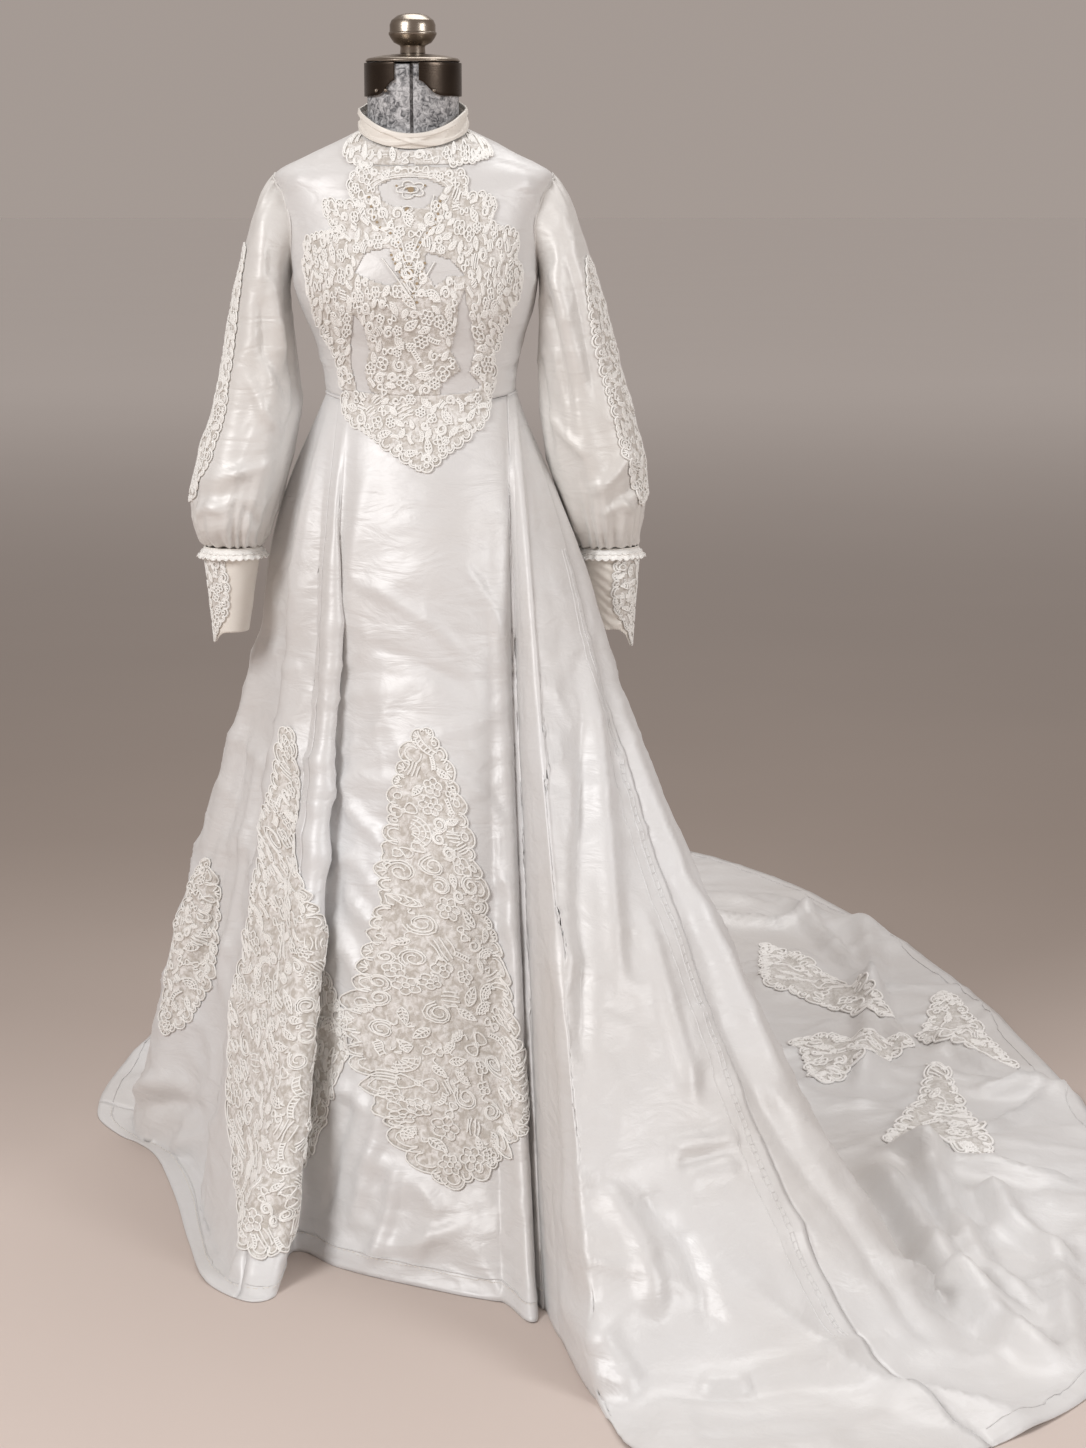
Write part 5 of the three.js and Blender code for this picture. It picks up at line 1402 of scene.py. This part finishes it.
# ladder of eyelets: a bowl under the flower, then two arms that meet in a point
eyeletLine = [(15.5, 8.0), (14.5, 7.6), (13.5, 7.2), (10.5, 6.8), (6.5, 6.6), (3.5, 6.27), (2, 5.8),
              (0.5, 5.3),
              (-1, 5.8), (-3, 6.27), (-5.5, 6.6), (-8, 6.9), (-9.5, 7.3), (-9.5, 7.6), (-11, 8.0)]
lowerV = [(6, 5.83), (3, 5.2), (1, 4.6), (0, 4.15), (-1.5, 4.75), (-3, 5.2), (-5, 5.7)]
frames = levelFrame(onBodice, lambda row: 0.0, -0.05, 10.0, 3.0)
layLace("bodiceLace", "bodice_lace", frames, bodiceLace, onBodice, 57, 15, bodiceWindows, cell=2.8,
        rests="bodiceFront", plain=lambda a, b: b < 0.45 or (b > 9.3 and abs(a) < 20))
yokeLace = [(59.5, 11.13), (68, 11.5), (68, 11.8), (61, 11.88), (21.5, 11.85), (1.5, 11.8), (-18.5, 11.87),
            (-48.5, 11.9), (-68, 11.9), (-74, 11.6), (-72, 11.2), (-64, 10.8), (-51, 10.63), (-36.5, 10.3),
            (-29, 10.33), (-20, 9.9), (0, 10.1), (14, 10.0), (22.5, 9.93), (33.5, 10.27), (45, 10.77)]
frames = levelFrame(onBodice, lambda row: 0.0, 9.55, 11.95, 3.0)
layLace("yokeLace", "yoke_lace", frames, yokeLace, onBodice, 61, 12, cell=2.8, rests="bodiceFront",
        plain=lambda a, b: b > 11.75 or (b < 10.2 and abs(a) < 20))


# The tail of the bodice lace runs over the waist seam, so its place below zero is on the bodice.
def onWaist(at, t, lift=0.0):
    return onBodice(at, -t * 36, lift) if t < 0 else onSkirt(at, t, lift)


waistLace = [[-0.0095, 50, -45], [-0.002, 51, -45], [0.004, 52, -45], [0.018, 46, -43], [0.032, 31, -31],
             [0.046, 18, -20], [0.06, 7, -9], [0.072, 0, -4]]
frames = levelFrame(onWaist, lambda t: 0.0, -0.012, 0.08, 3.0)
layLace("waistLace", "waist_lace", frames, sides(waistLace), onWaist, 67, 14, cell=2.8,
        plain=lambda a, b: b < -0.004)

# eyelets: small dark beige discs in a row between the two rails of the ladder, painted shade inside the
# eyelet holes
mesh = bmesh.new()
spots = []
for line, step in ((eyeletLine, 7.5), (lowerV, 7.0)):
    for (a0, b0), (a1, b1) in zip(line, line[1:]):
        p, q = Vector(onBodice(a0, b0)), Vector(onBodice(a1, b1))
        count = max(1, round((q - p).length / step))
        spots += [(mix(a0, a1, k / count), mix(b0, b1, k / count), 1.9) for k in range(count)]
spots += [(0, 8.3, 4.4), (1.2, 8.42, 2.4), (4.5, 8.5, 1.7), (-4.5, 8.5, 1.7), (1, 7.47, 3.2), (0, 5.2, 3.8),
          (0.3, 5.5, 2.8), (0.3, 4.95, 2.6), (0.2, 4.05, 2.2), (1.5, 3.95, 2.0), (-1.3, 3.95, 2.0)]
for a, b, radius in spots:
    place = Vector(onBodice(a, b, 2.1)) * 0.001
    out = (Vector(onBodice(a, b, 3)) - Vector(onBodice(a, b, 0))).normalized()
    spot = bmesh.ops.create_circle(mesh, cap_ends=True, segments=8, radius=radius * 0.001)
    bmesh.ops.rotate(mesh, verts=spot["verts"], cent=(0, 0, 0),
                     matrix=out.to_track_quat("Z", "Y").to_matrix())
    bmesh.ops.translate(mesh, verts=spot["verts"], vec=place)
newPiece("eyeletHoleShadeDiscs", mesh, eyeletShadeFinish, "cream_lace", "bodice_lace")
rings = [[onBodice(a + (radius + 0.9) * 0.42 * math.cos(g), b + (radius + 0.9) * 0.03 * math.sin(g), 2.3)
          for g in evenly(0, 5.5, 7)] for a, b, radius in spots if radius > 2.5]
rails = [[onBodice(a * k, b + shift, 2.2) for a, b in line] for line, pairs in
         ((eyeletLine, ((1.25, 0.02), (0.72, 0.06))), (lowerV, ((1.6, -0.12), (0.5, 0.2)))) for k,
         shift in pairs]
# flower over the bowl: petals round the largest eyelet
rails += [[onBodice(4.6 * q * math.cos(g) , 8.32 + 0.42 * q * math.sin(g), 2.3)
           for q, g in ((0.62 + 0.38 * abs(math.cos(2.5 * h)), h) for h in evenly(0, 6.283, 40))]]
rails += [[onBodice(14 * math.cos(g) * s, 8.15 + 0.85 * math.sin(g) * s, 1.8)
           for g in evenly(0.35, 2.8, 24)] for s in (1, 1.16)]
newPiece("eyeletRails", cordMesh(rings + rails, 0.0011, 0), laceFinish, "cream_lace", "bodice_lace")

sleeveLaces = {
    "left": [[3.2, 0.5, 0.42], [4.0, 0.53, 0.39], [5.0, 0.53, 0.375], [6.0, 0.53, 0.365], [7.2, 0.53, 0.36],
             [8.3, 0.53, 0.37], [9.2, 0.51, 0.43]],
    "right": [[3.4, 0.44, 0.40], [3.9, 0.48, 0.36], [4.6, 0.50, 0.345], [5.6, 0.52, 0.34], [6.8, 0.52, 0.345],
              [7.8, 0.51, 0.35], [8.6, 0.48, 0.37], [9.3, 0.44, 0.41]],
}
for name, rows in sleeveLaces.items():
    cloth = sleeveCloths[name]
    frames = levelFrame(cloth.on, lambda row: 0.46, 3.0, 9.6, 0.02)
    layLace("sleeveLace" + name.title(), "sleeve_lace_" + name, frames, sides(rows), cloth.on,
            71 if name == "left" else 73, 13, cell=3.0, rests="sleeve" + name.title())
    cloth = cuffCloths[name]
    frames = levelFrame(cloth.on, lambda share: 0.42, 0.05, 1.0, 0.02)
    rows = [[0.12, 0.56, 0.3], [0.5, 0.56, 0.28], [0.8, 0.56, 0.3], [0.97, 0.54, 0.42]]
    layLace("cuffLace" + name.title(), "cuff_lace_" + name, frames, sides(rows), cloth.on,
            81 if name == "left" else 83, 12, cell=2.6, rests="cuff" + name.title())
print("bodice and sleeve lace laid")

# Hem stitching, the facing of the train's edge and its ladder of stitches.
hem = {"up": 23, "stitch": 6.5, "gap": 2.5, "thread": 0.0006}


def hemLine(first, last, up, step=7):
    line = []
    for at in panelStations(first, last, step):
        bottom = Vector(onSkirt(at, 1))
        t = 1.0
        while t > 0.8 and (Vector(onSkirt(at, t)) - bottom).length < up:
            t -= 0.002
        line.append((at, t))
    return line


stitches = []
for first, last in ((-65, 56.5), (57.5, 107.5), (262.5, 294)):
    line = hemLine(first, last, hem["up"], 4.5)
    stitches += [[onSkirt(a, t, 0.5) for a, t in pair] for pair in zip(line[::2], line[1::2])]
newPiece("hemStitches", cordMesh(stitches, hem["thread"], 0), creamFinish, "ivory_satin")
fold = [[onSkirt(a, t, 0.5) for a, t in hemLine(first, last, hem["up"] + 3, 9)] for first, last in
        ((-65, 56.5), (57.5, 107.5), (262.5, 294), (108.5, 185.5), (186.5, 261.5))]
newPiece("hemFold", cordMesh(fold, 0.0008, 0), satinFinish, "ivory_satin")

facing = {"at": 262.6, "from": 0.14, "to": 0.84, "width": 26, "rungs": 96}


def facingPoint(side, t, lift):
    wide = (Vector(onSkirt(facing["at"] + 3, t)) - Vector(onSkirt(facing["at"], t))).length / 3
    width = facing["width"] * mix(0.35, 1, ease(facing["from"], 0.4, t))
    return onSkirt(facing["at"] + side * min(width / max(wide, 1), 8), t, lift)


strip = Cloth(evenly(0, 1, 8), evenly(facing["from"], facing["to"], 130), lambda a,
              t: facingPoint(a, t, 1.2), 1)
piece = clothPiece("trainFacing", strip, slice(0, 9), satinFinish, "ivory_satin", ["train_edge_band"], 0.001)
rungs = [[strip.on(a, t, 0.5) for a in (0.12, 0.34)]
         for t in evenly(facing["from"] + 0.004, facing["to"] - 0.004, facing["rungs"])]
rails = [[strip.on(a, t, 0.5) for t in strip.down] for a in (0.1, 0.36, 0.95)]
newPiece("facingStitches", cordMesh(rungs + rails, 0.0007, 0), satinFinish, "ivory_satin", "train_edge_band")
waistSeam = [onSkirt(at, 0, 0.3) for at in skirtCloth.across if 50 < at < 312]
newPiece("waistSeam", cordMesh([waistSeam], 0.0021, 1), satinFinish, "ivory_satin")
print("stitching made")

# Studio: a wide paper floor that meets the sky's tone far off, with a dark band of painted shade behind the
# dress for the backdrop's corner, soft lights and the photograph's camera.
reach = 60000
mesh = clothMesh([[(x, y, 0) for y in (-reach, reach)] for x in (-reach, reach)])
bmesh.ops.recalc_face_normals(mesh, faces=mesh.faces)
data = bpy.data.meshes.new("paperFloor")
mesh.to_mesh(data)
mesh.free()
for face in data.polygons:
    face.use_smooth = True
data.materials.append(stageFinish())
paper = bpy.data.objects.new("paperFloor", data)
bpy.context.scene.collection.objects.link(paper)

lights = {  # place, aim, size, power, colour
    "key": ((-2.9, -3.4, 3.6), (0.1, 0.1, 0.7), 1.8, 158, (0.985, 0.99, 1.0)),
    "fill": ((3.9, -3.0, 2.8), (0.4, -0.2, 0.4), 1.8, 90, (0.97, 0.985, 1.0)),
    "top": ((0.4, 1.6, 4.4), (0.4, 0.2, 0.0), 2.4, 60, (1.0, 1.0, 1.0)),
}
for name, (place, aim, size, power, colour) in lights.items():
    data = bpy.data.lights.new(name, "AREA")
    data.size, data.energy, data.color = size, power, colour
    lamp = bpy.data.objects.new(name, data)
    lamp.location = place
    lamp.rotation_euler = (Vector(aim) - Vector(place)).to_track_quat("-Z", "Y").to_euler()
    bpy.context.scene.collection.objects.link(lamp)
world = bpy.data.worlds.new("studio")
bpy.context.scene.world = world
world.use_nodes = True
world.node_tree.nodes["Background"].inputs[0].default_value = (1.0, 0.865, 0.79, 1)
world.node_tree.nodes["Background"].inputs[1].default_value = 0.375

data = bpy.data.cameras.new("camera")
data.lens, data.sensor_width = 72.95, 36
camera = bpy.data.objects.new("camera", data)
camera.location = (0.17314, -4.0, 1.4263)
camera.rotation_euler = (math.radians(90 - 11.058), 0, 0)
bpy.context.scene.collection.objects.link(camera)
bpy.context.scene.camera = camera
bpy.context.scene.view_settings.view_transform = "Standard"
print("studio made")
